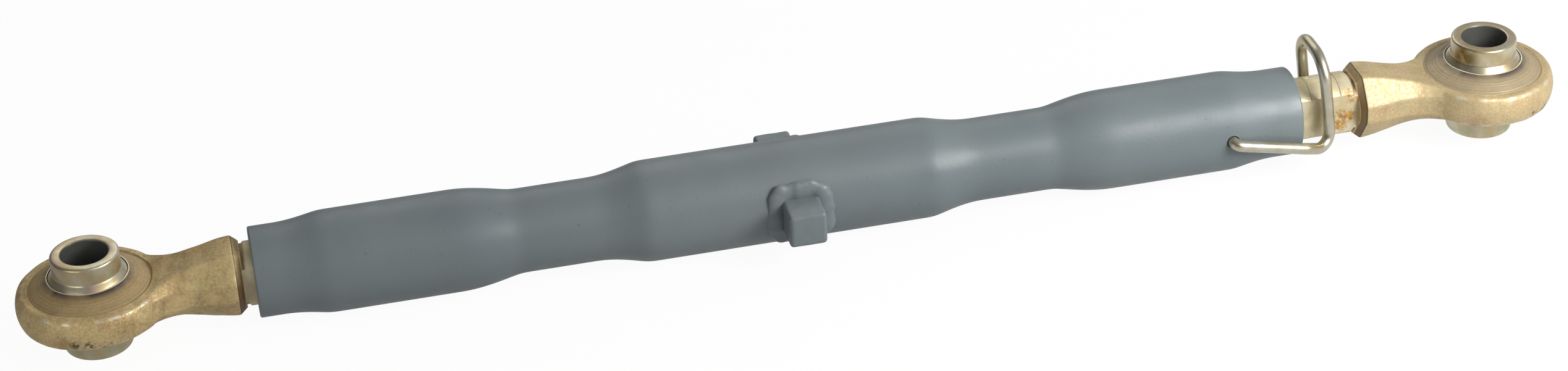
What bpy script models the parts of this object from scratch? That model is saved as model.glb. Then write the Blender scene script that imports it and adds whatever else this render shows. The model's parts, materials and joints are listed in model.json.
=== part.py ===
"""Tractor top link: a turnbuckle barrel between two forged ball eyes.

Lengths are in metres. X runs along the link, Y across it and Z up. The
origin lies on the ground under the middle of the link, which stands on the
collars of its two balls. The rods have one hand of thread each, so turning
the barrel moves both eyes out together.
"""

import math

import bmesh
import bpy
from mathutils import Vector

# Clearances between neighbouring pieces
SEAT_GAP = 0.0003
THREAD_GAP = 0.0003
RACE_GAP = 0.00035
HOLE_GAP = 0.00035

# Facets of round pieces
TUBE_FACETS = 36
EYE_FACETS = 40
BALL_FACETS = 40
SHANK_FACETS = 32
BUSH_FACETS = 32
HOLE_FACETS = 20
RACE_STEPS = 10
BALL_STEPS = 8
EDGE_STEPS = 4
WALL_STEPS = 2
BEND_STEPS = 5
SHARP_ANGLE = math.radians(32)

# Pierced ball
BALL_WIDTH = 0.044
BALL_RADIUS = 0.020
PIN_BORE_RADIUS = 0.00965
BORE_MOUTH_CHAMFER = 0.0008
COLLAR_RADIUS = 0.0141
COLLAR_RIM_CHAMFER = 0.0011

# Forged eye that holds the ball
EYE_RADIUS = 0.031
BAND_HALF_HEIGHT = 0.0072
EYE_EDGE_ROUND = 0.0026
WALL_BULGE_RADIUS = 0.014
LIP_HALF_HEIGHT = 0.012
LIP_WIDTH = 0.0005
BAND_WIDTH = 0.0055
FACE_DROP = 0.0004
BLANK_ALLOWANCE = 0.0005
COINING_REACH = 0.009
RACE_OVERRUN = 0.0015

# Faceted neck from the eye to the shoulder
ROOT_DEPTH = 0.012
ROOT_SIDE_MARGIN = 0.001
ROOT_HALF_HEIGHT = 0.0068
ROOT_FACET_WIDTH = 0.003
ROOT_FACET_DROP = 0.0022
WAIST_BEYOND_EYE = 0.007
WAIST_HALF_WIDTH = 0.0133
SHOULDER_DISTANCE = 0.0585
SHOULDER_HALF_WIDTH = 0.0156
SHOULDER_HALF_HEIGHT = 0.0152
SHOULDER_FACET_WIDTH = 0.008
SHOULDER_FACET_DROP = 0.0113
SHOULDER_CHAMFER_LENGTH = 0.0032
SHOULDER_CHAMFER_DEPTH = 0.0024
NECK_CORNER_ROUND = 0.0014
NECK_STATIONS = 12

# Threaded shank, flattened on both sides so that the bail can hold it
SHANK_RADIUS = 0.0135
SHANK_LENGTH = 0.200
SHANK_TIP_CHAMFER = 0.002
SHANK_FLAT_HALF_WIDTH = 0.010
UNDERCUT_DEPTH = 0.0008
UNDERCUT_LENGTH = 0.0018
SHANK_SINK = 0.006

# Swaged barrel tube
BARREL_LENGTH = 0.450
TUBE_RADIUS = 0.0215
TUBE_WALL = 0.0035
NECK_RADIUS = 0.0177
END_RADIUS = 0.0191
END_EDGE_CHAMFER = 0.0006
END_LENGTH = 0.011
END_RAMP = 0.018
SEAT_LENGTH = 0.055
INNER_RAMP = 0.025
NECK_LENGTH = 0.033
MIDDLE_RAMP = 0.021
BORE_GAP = 0.0005
NECK_BORE_GAP = 0.0007
RAMP_STEPS = 3

# Threaded bush gripped in each end of the barrel
BUSH_LENGTH = 0.044
BUSH_CHAMFER = 0.001

# Exposed length of each shank between its shoulder and the barrel
LEFT_EXPOSED = 0.0044
RIGHT_EXPOSED = 0.0270

# Square lugs, one on each side of the barrel, with their weld beads
LUG_OFFSET = 0.002
LUG_LENGTH = 0.016
LUG_HEIGHT = 0.0150
LUG_REACH = 0.036
LUG_EDGE = 0.0014
WELD_LEG = 0.0055
WELD_TOP_LEG = 0.0008
WELD_ROUND = 0.003

# Wire bail that swings over the end of the barrel
WIRE_RADIUS = 0.0025
WIRE_RESOLUTION = 4
PIVOT_FROM_END = 0.0330
PIVOT_RISE = 0.0015
HOOK_INSET = 0.001
HOOK_BEND = 0.003
KNEE_PAST_END = 0.0005
KNEE_SIDE_GAP = 0.0006
KNEE_DROP = 0.0087
KNEE_BEND = 0.008
CORNER_PAST_END = 0.014
CORNER_DROP = 0.015
CORNER_BEND = 0.006
LEG_FLAT_GAP = 0.0025
BRIDGE_PAST_END = 0.0093
FINGER_GAP = 0.0142
BRIDGE_BEND = 0.012

# Places worked out from the sizes above
AXIS_HEIGHT = BALL_WIDTH / 2
RACE_RADIUS = BALL_RADIUS + RACE_GAP
LIP_OUTER_RADIUS = math.sqrt(RACE_RADIUS ** 2 - LIP_HALF_HEIGHT ** 2) + LIP_WIDTH
FACE_OUTER_RADIUS = EYE_RADIUS - BAND_WIDTH
SHOULDER_END = SHOULDER_DISTANCE + SHOULDER_CHAMFER_LENGTH
BARREL_CENTRE_X = (LEFT_EXPOSED - RIGHT_EXPOSED) / 2
LEFT_BALL_X = -(BARREL_LENGTH / 2 + LEFT_EXPOSED + SHOULDER_END)
RIGHT_BALL_X = BARREL_LENGTH / 2 + RIGHT_EXPOSED + SHOULDER_END
TUBE_BORE_RADIUS = TUBE_RADIUS - TUBE_WALL
SEAT_OUTER_X = BARREL_LENGTH / 2 - END_LENGTH - END_RAMP
SEAT_INNER_X = SEAT_OUTER_X - SEAT_LENGTH
BUSH_INNER_X = SEAT_INNER_X + SEAT_GAP
PIVOT_X = BARREL_LENGTH / 2 - PIVOT_FROM_END


def ease(share):
    """Smooth step from 0 to 1 with level ends."""
    return share * share * (3 - 2 * share)


def swage(share):
    """Step from 0 to 1 that starts level and ends in a crease, as a swaged ramp does."""
    return share ** 2 * (3 - share) / 2


def arc(centre, radius, start, end, steps):
    """Points of an arc about a centre, from one angle to another, in radians."""
    turns = [start + (end - start) * step / steps for step in range(steps + 1)]
    return [(centre[0] + radius * math.cos(turn), centre[1] + radius * math.sin(turn)) for turn in turns]


def mirrored(half):
    """A half outline followed by its mirror image across the plane at 0."""
    return half + [(-along, radius) for along, radius in reversed(half)]


def make_object(name, shape):
    """Turn a bmesh into a linked object whose faces point out."""
    bmesh.ops.recalc_face_normals(shape, faces=shape.faces)
    mesh = bpy.data.meshes.new(name)
    shape.to_mesh(mesh)
    shape.free()
    piece = bpy.data.objects.new(name, mesh)
    bpy.context.scene.collection.objects.link(piece)
    return piece


def turned(name, outline, facets, axis, hollow=False):
    """Revolve (along, radius) points about the X or Z axis.

    A solid outline starts and ends on the axis. A hollow one is a closed
    loop that stays clear of it.
    """
    shape = bmesh.new()
    rings = []
    for along, radius in outline:
        if radius == 0:
            centre = (along, 0, 0) if axis == "X" else (0, 0, along)
            rings.append([shape.verts.new(centre)])
            continue
        ring = []
        for facet in range(facets):
            turn = math.tau * facet / facets
            across, up = radius * math.cos(turn), radius * math.sin(turn)
            point = (along, across, up) if axis == "X" else (across, up, along)
            ring.append(shape.verts.new(point))
        rings.append(ring)
    joins = list(zip(rings, rings[1:]))
    if hollow:
        joins.append((rings[-1], rings[0]))
    for first, second in joins:
        for facet in range(facets):
            following = (facet + 1) % facets
            corners = [
                first[facet % len(first)],
                first[following % len(first)],
                second[following % len(second)],
                second[facet % len(second)],
            ]
            shape.faces.new(list(dict.fromkeys(corners)))
    return make_object(name, shape)


def lofted(name, sections):
    """Skin a row of sections that have the same number of points, and cap it."""
    shape = bmesh.new()
    rings = [[shape.verts.new(point) for point in section] for section in sections]
    count = len(rings[0])
    for first, second in zip(rings, rings[1:]):
        for index in range(count):
            following = (index + 1) % count
            shape.faces.new((first[index], first[following], second[following], second[index]))
    shape.faces.new(rings[0])
    shape.faces.new(rings[-1])
    return make_object(name, shape)


def block(name, low, high):
    """Box between two corners."""
    shape = bmesh.new()
    bmesh.ops.create_cube(shape, size=1)
    size = [high[axis] - low[axis] for axis in range(3)]
    middle = [(high[axis] + low[axis]) / 2 for axis in range(3)]
    bmesh.ops.scale(shape, vec=size, verts=shape.verts)
    bmesh.ops.translate(shape, vec=middle, verts=shape.verts)
    return make_object(name, shape)


def combine(piece, operation, tools):
    """Join tools to a piece, or cut them from it, and drop the tools."""
    for tool in tools:
        step = piece.modifiers.new(tool.name, "BOOLEAN")
        step.operation = operation
        step.solver = "EXACT"
        step.object = tool
    graph = bpy.context.evaluated_depsgraph_get()
    result = bpy.data.meshes.new_from_object(piece.evaluated_get(graph))
    piece.modifiers.clear()
    piece.data = result
    for tool in tools:
        bpy.data.objects.remove(tool)


def finish(piece, material):
    """Smooth the round faces, keep the edges crisp and give a material."""
    piece.data.shade_smooth()
    piece.data.set_sharp_from_angle(angle=SHARP_ANGLE)
    piece.data.materials.clear()
    piece.data.materials.append(material)


def place(piece, parent, location, turn=0.0):
    """Hang a piece on its parent, turned about Z."""
    piece.parent = parent
    piece.location = location
    piece.rotation_euler = (0, 0, turn)


def make_material(name, colour, roughness, metallic):
    """Principled material with the look of one finish."""
    material = bpy.data.materials.new(name)
    material.use_nodes = True
    shader = material.node_tree.nodes["Principled BSDF"]
    shader.inputs["Base Color"].default_value = (*colour, 1)
    shader.inputs["Roughness"].default_value = roughness
    shader.inputs["Metallic"].default_value = metallic
    return material


def tube_stations():
    """Stations of the swaged half barrel from its end to its middle.

    Each is (distance from the middle, outer radius, bore radius).
    """
    end_bore = SHANK_RADIUS + BORE_GAP
    neck_bore = SHANK_RADIUS + NECK_BORE_GAP
    end = BARREL_LENGTH / 2
    neck_outer_x = SEAT_INNER_X - INNER_RAMP
    neck_inner_x = neck_outer_x - NECK_LENGTH
    return [
        (end - END_LENGTH, END_RADIUS, end_bore),
        (SEAT_OUTER_X, TUBE_RADIUS, TUBE_BORE_RADIUS),
        (SEAT_INNER_X, TUBE_RADIUS, TUBE_BORE_RADIUS),
        (neck_outer_x, NECK_RADIUS, neck_bore),
        (neck_inner_x, NECK_RADIUS, neck_bore),
        (neck_inner_x - MIDDLE_RAMP, TUBE_RADIUS, TUBE_BORE_RADIUS),
    ]


def swaged_profile(column):
    """Half profile of the barrel and its ramps, for the outside (1) or the bore (2)."""
    stations = tube_stations()
    points = [(stations[0][0], stations[0][column])]
    for start, end in zip(stations, stations[1:]):
        steps = 1 if start[column] == end[column] else RAMP_STEPS + 1
        for step in range(1, steps + 1):
            share = step / steps
            along = start[0] + (end[0] - start[0]) * share
            points.append((along, start[column] + (end[column] - start[column]) * swage(share)))
    return points


def make_barrel_tube(material):
    """Steel tube swaged down at both ends and at a neck behind each bush."""
    end = BARREL_LENGTH / 2
    end_bore = SHANK_RADIUS + BORE_GAP
    outside = [(end, END_RADIUS - END_EDGE_CHAMFER), (end - END_EDGE_CHAMFER, END_RADIUS)]
    outside += swaged_profile(1)
    bore = [(end, end_bore)] + swaged_profile(2)
    outline = mirrored(outside) + list(reversed(mirrored(bore)))
    tube = turned("barrel_tube", outline, TUBE_FACETS, "X", hollow=True)
    reach = TUBE_RADIUS + WIRE_RADIUS
    drill = turned(
        "bail_drill",
        [(-reach, 0), (-reach, WIRE_RADIUS + HOLE_GAP), (reach, WIRE_RADIUS + HOLE_GAP), (reach, 0)],
        HOLE_FACETS,
        "Z",
    )
    drill.rotation_euler = (math.pi / 2, 0, 0)
    drill.location = (PIVOT_X, 0, PIVOT_RISE)
    combine(tube, "DIFFERENCE", [drill])
    finish(tube, material)
    return tube


def make_thread_bush(name, material):
    """Threaded bush, drawn as the cylinder over its thread crests."""
    outer = TUBE_BORE_RADIUS - SEAT_GAP
    bore = SHANK_RADIUS + THREAD_GAP
    half = BUSH_LENGTH / 2
    outside = [(half, outer - BUSH_CHAMFER), (half - BUSH_CHAMFER, outer)]
    inside = [(half, bore + BUSH_CHAMFER), (half - BUSH_CHAMFER, bore)]
    outline = mirrored(outside) + list(reversed(mirrored(inside)))
    bush = turned(name, outline, BUSH_FACETS, "X", hollow=True)
    finish(bush, material)
    return bush


def saddle_cutter(name):
    """Cylinder that hollows the foot of a lug or a bead to sit on the tube."""
    radius = TUBE_RADIUS + SEAT_GAP
    reach = LUG_LENGTH / 2 + WELD_LEG * 2
    outline = [(-reach, 0), (-reach, radius), (reach, radius), (reach, 0)]
    return turned(name, outline, TUBE_FACETS, "X")


def make_lug(name, side, material):
    """Square bar stub that a wrench bar bears on, saddled to the tube."""
    half_length, half_height = LUG_LENGTH / 2, LUG_HEIGHT / 2
    foot = math.sqrt(TUBE_RADIUS ** 2 - half_height ** 2) - LUG_EDGE
    low, high = sorted((side * foot, side * LUG_REACH))
    lug = block(name, (-half_length, low, -half_height), (half_length, high, half_height))
    shape = bmesh.new()
    shape.from_mesh(lug.data)
    bmesh.ops.bevel(
        shape,
        geom=list(shape.edges),
        offset=LUG_EDGE,
        segments=2,
        profile=0.5,
        affect="EDGES",
    )
    shape.to_mesh(lug.data)
    shape.free()
    combine(lug, "DIFFERENCE", [saddle_cutter("lug_saddle")])
    finish(lug, material)
    return lug


def bead_section(across, leg, side):
    """Rounded rectangle round the lug at a distance across from the axis."""
    half_length = LUG_LENGTH / 2 + leg
    half_height = LUG_HEIGHT / 2 + leg
    rounding = min(WELD_ROUND, leg + LUG_EDGE)
    section = []
    for quarter, (along, up) in enumerate(((1, 1), (-1, 1), (-1, -1), (1, -1))):
        centre = (along * (half_length - rounding), up * (half_height - rounding))
        start = quarter * math.pi / 2
        for x, z in arc(centre, rounding, start, start + math.pi / 2, EDGE_STEPS):
            section.append((x, side * across, z))
    return section


def make_weld(name, side, material):
    """Fillet bead that runs round the foot of a lug."""
    lowest = math.sqrt(TUBE_RADIUS ** 2 - (LUG_HEIGHT / 2 + WELD_LEG) ** 2) - SEAT_GAP
    crest = TUBE_RADIUS + WELD_LEG
    sections = [
        bead_section(lowest, WELD_LEG, side),
        bead_section(TUBE_RADIUS, WELD_LEG, side),
        bead_section((TUBE_RADIUS + crest) / 2, WELD_LEG * 0.55, side),
        bead_section(crest, WELD_TOP_LEG, side),
    ]
    weld = lofted(name, sections)
    half_length = LUG_LENGTH / 2 + SEAT_GAP
    half_height = LUG_HEIGHT / 2 + SEAT_GAP
    through = block(
        "lug_slot",
        (-half_length, -LUG_REACH, -half_height),
        (half_length, LUG_REACH, half_height),
    )
    combine(weld, "DIFFERENCE", [saddle_cutter("weld_saddle"), through])
    finish(weld, material)
    return weld


def make_ball(name, material):
    """Pierced ball whose collars stand out of both sides of the eye."""
    half = BALL_WIDTH / 2
    belt = math.acos(COLLAR_RADIUS / BALL_RADIUS)
    outline = [
        (half - BORE_MOUTH_CHAMFER, PIN_BORE_RADIUS),
        (half, PIN_BORE_RADIUS + BORE_MOUTH_CHAMFER),
        (half, COLLAR_RADIUS - COLLAR_RIM_CHAMFER),
        (half - COLLAR_RIM_CHAMFER, COLLAR_RADIUS),
    ]
    for step in range(BALL_STEPS + 1):
        turn = belt - 2 * belt * step / BALL_STEPS
        outline.append((BALL_RADIUS * math.sin(turn), BALL_RADIUS * math.cos(turn)))
    outline += [(-along, radius) for along, radius in reversed(outline[:4])]
    ball = turned(name, outline, BALL_FACETS, "Z", hollow=True)
    finish(ball, material)
    return ball


def eye_blank():
    """Turned blank of the eye before its faces are coined and its race is cut.

    The wall bulges a little towards the middle and runs into rounded edges.
    """
    wall_centre = EYE_RADIUS - WALL_BULGE_RADIUS
    edge_height = BAND_HALF_HEIGHT - EYE_EDGE_ROUND
    edge_offset = math.sqrt((WALL_BULGE_RADIUS - EYE_EDGE_ROUND) ** 2 - edge_height ** 2)
    edge_radius = wall_centre + edge_offset
    meeting = math.atan2(edge_offset, edge_height)
    half = [
        (LIP_HALF_HEIGHT, 0),
        (LIP_HALF_HEIGHT, LIP_OUTER_RADIUS + BLANK_ALLOWANCE),
        (BAND_HALF_HEIGHT, FACE_OUTER_RADIUS + BLANK_ALLOWANCE),
    ]
    half += arc((edge_height, edge_radius), EYE_EDGE_ROUND, 0, meeting, EDGE_STEPS)
    half += arc((0, wall_centre), WALL_BULGE_RADIUS, meeting, math.pi / 2, WALL_STEPS)[1:]
    lower = [(-along, radius) for along, radius in reversed(half[:-1])]
    return turned("eye_blank", half + lower, EYE_FACETS, "Z")


def coining_die(side):
    """Ring that presses the sloping face between the lip and the outer band."""
    face_height = BAND_HALF_HEIGHT - FACE_DROP
    slope = (LIP_HALF_HEIGHT - face_height) / (FACE_OUTER_RADIUS - LIP_OUTER_RADIUS)
    inner_radius = LIP_OUTER_RADIUS - BLANK_ALLOWANCE
    top = LIP_HALF_HEIGHT + COINING_REACH
    outline = [
        (side * (LIP_HALF_HEIGHT + slope * BLANK_ALLOWANCE), inner_radius),
        (side * face_height, FACE_OUTER_RADIUS),
        (side * top, FACE_OUTER_RADIUS),
        (side * top, inner_radius),
    ]
    return turned("coining_die", outline, EYE_FACETS, "Z", hollow=True)


def race_cutter():
    """Slice of a sphere that cuts the race and leaves a lip at each face."""
    reach = LIP_HALF_HEIGHT + RACE_OVERRUN
    limit = math.asin(reach / RACE_RADIUS)
    outline = [(-reach, 0)]
    for step in range(RACE_STEPS + 1):
        turn = -limit + 2 * limit * step / RACE_STEPS
        outline.append((RACE_RADIUS * math.sin(turn), RACE_RADIUS * math.cos(turn)))
    outline.append((reach, 0))
    return turned("race_cutter", outline, EYE_FACETS, "Z")


def neck_section(distance, half_width, half_height, facet_width, facet_drop):
    """Octagon with rounded corners across the neck, at a distance from the ball."""
    side, top = half_height - facet_drop, half_width - facet_width
    corners = [
        (half_width, -side),
        (half_width, side),
        (top, half_height),
        (-top, half_height),
        (-half_width, side),
        (-half_width, -side),
        (-top, -half_height),
        (top, -half_height),
    ]
    section = []
    for index, corner in enumerate(corners):
        here = Vector(corner)
        before = here + (Vector(corners[index - 1]) - here).normalized() * NECK_CORNER_ROUND
        after = here + (Vector(corners[(index + 1) % 8]) - here).normalized() * NECK_CORNER_ROUND
        for point in (before, (before + after) / 4 + here / 2, after):
            section.append((-distance, point.x, point.y))
    return section


def neck_loft():
    """Neck that flows out of the eye, narrows to a waist and swells to the shoulder."""
    root = EYE_RADIUS - ROOT_DEPTH
    waist = EYE_RADIUS + WAIST_BEYOND_EYE
    root_half_width = math.sqrt(EYE_RADIUS ** 2 - root ** 2) - ROOT_SIDE_MARGIN
    sections = []
    for station in range(NECK_STATIONS + 1):
        share = station / NECK_STATIONS
        distance = root + (SHOULDER_DISTANCE - root) * share
        rise = (share + ease(share)) / 2
        if distance < waist:
            left_over = 1 - (distance - root) / (waist - root)
            half_width = WAIST_HALF_WIDTH + (root_half_width - WAIST_HALF_WIDTH) * left_over ** 2
        else:
            swell = ease((distance - waist) / (SHOULDER_DISTANCE - waist))
            half_width = WAIST_HALF_WIDTH + (SHOULDER_HALF_WIDTH - WAIST_HALF_WIDTH) * swell
        half_height = ROOT_HALF_HEIGHT + (SHOULDER_HALF_HEIGHT - ROOT_HALF_HEIGHT) * rise
        facet_width = ROOT_FACET_WIDTH + (SHOULDER_FACET_WIDTH - ROOT_FACET_WIDTH) * rise
        facet_drop = ROOT_FACET_DROP + (SHOULDER_FACET_DROP - ROOT_FACET_DROP) * rise
        sections.append(neck_section(distance, half_width, half_height, facet_width, facet_drop))
    sections.append(
        neck_section(
            SHOULDER_END,
            SHOULDER_HALF_WIDTH - SHOULDER_CHAMFER_DEPTH,
            SHOULDER_HALF_HEIGHT - SHOULDER_CHAMFER_DEPTH,
            SHOULDER_FACET_WIDTH - SHOULDER_CHAMFER_DEPTH / 2,
            SHOULDER_FACET_DROP - SHOULDER_CHAMFER_DEPTH / 2,
        )
    )
    return lofted("neck", sections)


def shank_bar():
    """Round bar of the shank with an undercut at its shoulder and a chamfered tip."""
    undercut_radius = SHANK_RADIUS - UNDERCUT_DEPTH
    undercut_end = SHOULDER_END + UNDERCUT_LENGTH
    tip = SHOULDER_END + SHANK_LENGTH
    outline = [
        (SHOULDER_END - SHANK_SINK, 0),
        (SHOULDER_END - SHANK_SINK, undercut_radius),
        (undercut_end - UNDERCUT_DEPTH, undercut_radius),
        (undercut_end, SHANK_RADIUS),
        (tip - SHANK_TIP_CHAMFER, SHANK_RADIUS),
        (tip, SHANK_RADIUS - SHANK_TIP_CHAMFER),
        (tip, 0),
    ]
    return turned("shank", [(-along, radius) for along, radius in outline], SHANK_FACETS, "X")


def flat_cutters():
    """Two blocks that leave the shank with a flat on each side."""
    near = -(SHOULDER_END + SEAT_GAP)
    far = -(SHOULDER_END + SHANK_LENGTH + SHANK_TIP_CHAMFER)
    outside = SHANK_RADIUS + SHANK_TIP_CHAMFER
    return [
        block("front_flat", (far, -outside, -outside), (near, -SHANK_FLAT_HALF_WIDTH, outside)),
        block("rear_flat", (far, SHANK_FLAT_HALF_WIDTH, -outside), (near, outside, outside)),
    ]


def make_eye_rod(name, material):
    """Forged eye, faceted neck and threaded shank in one piece, shank along -X."""
    rod = eye_blank()
    rod.name = name
    combine(rod, "UNION", [neck_loft(), shank_bar()])
    cutters = [coining_die(1), coining_die(-1), race_cutter()]
    combine(rod, "DIFFERENCE", cutters + flat_cutters())
    finish(rod, material)
    return rod


def bent_wire(corners, bends):
    """Points along straight stretches joined by round bends."""
    points = [Vector(corners[0])]
    for before, corner, after, radius in zip(corners, corners[1:], corners[2:], bends):
        here = Vector(corner)
        back = (Vector(before) - here).normalized()
        ahead = (Vector(after) - here).normalized()
        half_angle = back.angle(ahead) / 2
        reach = radius / math.tan(half_angle)
        centre = here + (back + ahead).normalized() * radius / math.sin(half_angle)
        start, end = here + back * reach - centre, here + ahead * reach - centre
        for step in range(BEND_STEPS + 1):
            points.append(centre + start.slerp(end, step / BEND_STEPS) * radius)
    points.append(Vector(corners[-1]))
    return points


def make_bail(name, material):
    """Sprung wire bail, its origin on the line of the two holes it swings in."""
    past_end = PIVOT_FROM_END
    side_start = TUBE_RADIUS + SEAT_GAP + HOOK_BEND
    knee_side = END_RADIUS + KNEE_SIDE_GAP + WIRE_RADIUS
    leg_side = SHANK_FLAT_HALF_WIDTH + LEG_FLAT_GAP + WIRE_RADIUS
    bridge_height = SHANK_RADIUS + FINGER_GAP + WIRE_RADIUS - PIVOT_RISE
    half = [
        (0, TUBE_BORE_RADIUS - HOOK_INSET, 0),
        (0, side_start, 0),
        (past_end + KNEE_PAST_END, knee_side, -KNEE_DROP),
        (past_end + CORNER_PAST_END, leg_side, -CORNER_DROP),
        (past_end + BRIDGE_PAST_END, leg_side, bridge_height),
    ]
    other_half = [(along, -across, up) for along, across, up in reversed(half)]
    bends = [HOOK_BEND, KNEE_BEND, CORNER_BEND, BRIDGE_BEND]
    points = bent_wire(half + other_half, bends + bends[::-1])
    curve = bpy.data.curves.new(name, "CURVE")
    curve.dimensions = "3D"
    curve.bevel_depth = WIRE_RADIUS
    curve.bevel_resolution = WIRE_RESOLUTION
    curve.use_fill_caps = True
    spline = curve.splines.new("POLY")
    spline.points.add(len(points) - 1)
    for slot, point in zip(spline.points, points):
        slot.co = (*point, 1)
    curve.materials.append(material)
    bail = bpy.data.objects.new(name, curve)
    bpy.context.scene.collection.objects.link(bail)
    return bail


def build_link():
    """Make every piece and hang it on the barrel."""
    enamel = make_material("barrel_enamel", (0.14, 0.165, 0.17), 0.45, 0.0)
    zinc = make_material("yellow_zinc_forging", (0.42, 0.30, 0.13), 0.42, 0.9)
    ball_zinc = make_material("ball_zinc", (0.50, 0.42, 0.27), 0.3, 1.0)
    wire_zinc = make_material("wire_zinc", (0.62, 0.60, 0.45), 0.3, 1.0)
    bush_steel = make_material("bush_steel", (0.35, 0.33, 0.30), 0.5, 1.0)

    tube = make_barrel_tube(enamel)
    tube.location = (BARREL_CENTRE_X, 0, AXIS_HEIGHT)
    for name, side in (("front", -1), ("rear", 1)):
        place(make_lug(f"{name}_lug", side, enamel), tube, (LUG_OFFSET, 0, 0))
        place(make_weld(f"{name}_weld", side, enamel), tube, (LUG_OFFSET, 0, 0))

    bush_x = BUSH_INNER_X + BUSH_LENGTH / 2
    ends = (("left", -1, LEFT_BALL_X, math.pi), ("right", 1, RIGHT_BALL_X, 0.0))
    for name, side, ball_x, turn in ends:
        place(make_thread_bush(f"{name}_thread_bush", bush_steel), tube, (side * bush_x, 0, 0))
        rod = make_eye_rod(f"{name}_eye_rod", zinc)
        place(rod, tube, (ball_x, 0, 0), turn)
        place(make_ball(f"{name}_ball", ball_zinc), rod, (0, 0, 0))

    place(make_bail("lock_bail", wire_zinc), tube, (PIVOT_X, 0, PIVOT_RISE))


for old in list(bpy.data.objects):
    bpy.data.objects.remove(old)
build_link()
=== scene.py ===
"""Looks of a tractor top link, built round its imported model.

The link is a swaged and enamelled turnbuckle barrel with two yellow zinc eye
rods, two pierced balls, two welded turning lugs and a sprung wire bail.
Lengths are in metres, X runs along the link and Z up.
"""

import json
import logging
import math
from dataclasses import dataclass, field
from enum import Enum
from functools import partial
from typing import Any, Optional, Sequence

import bmesh
import bpy
from mathutils import Matrix, Vector, noise

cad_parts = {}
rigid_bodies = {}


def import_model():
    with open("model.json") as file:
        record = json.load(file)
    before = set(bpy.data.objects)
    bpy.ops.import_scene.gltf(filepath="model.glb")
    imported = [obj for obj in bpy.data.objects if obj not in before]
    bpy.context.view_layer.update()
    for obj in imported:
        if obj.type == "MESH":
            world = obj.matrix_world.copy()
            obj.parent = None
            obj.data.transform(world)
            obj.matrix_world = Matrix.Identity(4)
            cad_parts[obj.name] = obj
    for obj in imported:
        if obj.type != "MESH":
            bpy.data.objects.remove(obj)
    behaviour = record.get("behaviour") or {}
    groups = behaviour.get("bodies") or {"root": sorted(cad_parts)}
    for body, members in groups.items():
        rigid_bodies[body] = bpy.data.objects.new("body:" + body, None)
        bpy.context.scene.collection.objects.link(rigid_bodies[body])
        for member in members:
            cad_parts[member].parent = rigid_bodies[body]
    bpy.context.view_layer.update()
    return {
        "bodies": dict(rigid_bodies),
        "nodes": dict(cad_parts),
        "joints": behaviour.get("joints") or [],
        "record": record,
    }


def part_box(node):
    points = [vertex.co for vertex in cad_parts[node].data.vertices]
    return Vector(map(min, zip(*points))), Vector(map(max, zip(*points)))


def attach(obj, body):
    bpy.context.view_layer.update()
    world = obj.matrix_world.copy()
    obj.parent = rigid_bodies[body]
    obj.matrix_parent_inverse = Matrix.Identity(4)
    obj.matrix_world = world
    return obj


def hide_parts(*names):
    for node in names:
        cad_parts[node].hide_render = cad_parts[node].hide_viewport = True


LOG = logging.getLogger("top_link")
MM = 0.001
SPOT_CORE = 0.35
WHITE = (1.0, 1.0, 1.0, 1.0)
Tree = bpy.types.NodeTree
Socket = bpy.types.NodeSocket
Piece = bpy.types.Object
Finish = bpy.types.Material
Span = tuple[float, float]
Outline = list[Span]
Noise = tuple[float, ...]


class Axis(Enum):
    """Axis that a turned shape is turned about."""

    ALONG = "X"
    UP = "Z"


class Side(Enum):
    """End of the link, or side of the barrel."""

    LEFT = "left"
    RIGHT = "right"
    FRONT = "front"
    REAR = "rear"

    @property
    def sign(self) -> int:
        """Direction of this side along its axis."""
        return -1 if self in (Side.LEFT, Side.FRONT) else 1


def linear(hex_colour: str) -> tuple[float, float, float, float]:
    """Turn an sRGB hex colour into a linear one.

    Args:
        hex_colour: Six hex digits after a hash sign.

    Returns:
        Red, green, blue and alpha, linear.
    """
    channels = [int(hex_colour[start : start + 2], 16) / 255 for start in (1, 3, 5)]
    values = [c / 12.92 if c <= 0.04045 else ((c + 0.055) / 1.055) ** 2.4 for c in channels]
    return (values[0], values[1], values[2], 1.0)


def ease(share: float) -> float:
    """Smooth step from 0 to 1 with level ends."""
    share = min(max(share, 0.0), 1.0)
    return share * share * (3 - 2 * share)


def way(start: float, end: float, share: float) -> float:
    """Value at a share of the way from start to end."""
    return start + (end - start) * share


def swage(share: float) -> float:
    """Step from 0 to 1 that starts level and ends in a crease, as a swaged ramp does."""
    return share ** 2 * (3 - share) / 2


def arc(centre: Span, radius: float, start: float, end: float, steps: int) -> Outline:
    """Points of an arc.

    Args:
        centre: Centre of the arc.
        radius: Its radius.
        start: First angle, in radians.
        end: Last angle, in radians.
        steps: Number of chords.

    Returns:
        The points, the first and the last on the arc's ends.
    """
    turns = [start + (end - start) * step / steps for step in range(steps + 1)]
    along, across = centre
    return [(along + radius * math.cos(turn), across + radius * math.sin(turn)) for turn in turns]


def mirrored(half: Outline) -> Outline:
    """A half outline followed by its mirror image across 0."""
    return half + [(-along, radius) for along, radius in reversed(half)]


def linked(name: str, data: bpy.types.ID) -> Piece:
    """New object in the scene for a mesh, a lamp or a camera."""
    piece = bpy.data.objects.new(name, data)
    bpy.context.scene.collection.objects.link(piece)
    return piece


def paint(piece: Piece, finish: Finish) -> None:
    """Give a piece one finish in place of what it has."""
    piece.data.materials.clear()
    piece.data.materials.append(finish)


def add_object(name: str, shape: bmesh.types.BMesh) -> Piece:
    """Turn a bmesh into a linked, smooth object whose faces point out.

    Args:
        name: Name of the object.
        shape: The bmesh, which is freed.

    Returns:
        The new object.
    """
    bmesh.ops.recalc_face_normals(shape, faces=shape.faces)
    mesh = bpy.data.meshes.new(name)
    shape.to_mesh(mesh)
    shape.free()
    mesh.shade_smooth()
    return linked(name, mesh)


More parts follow.
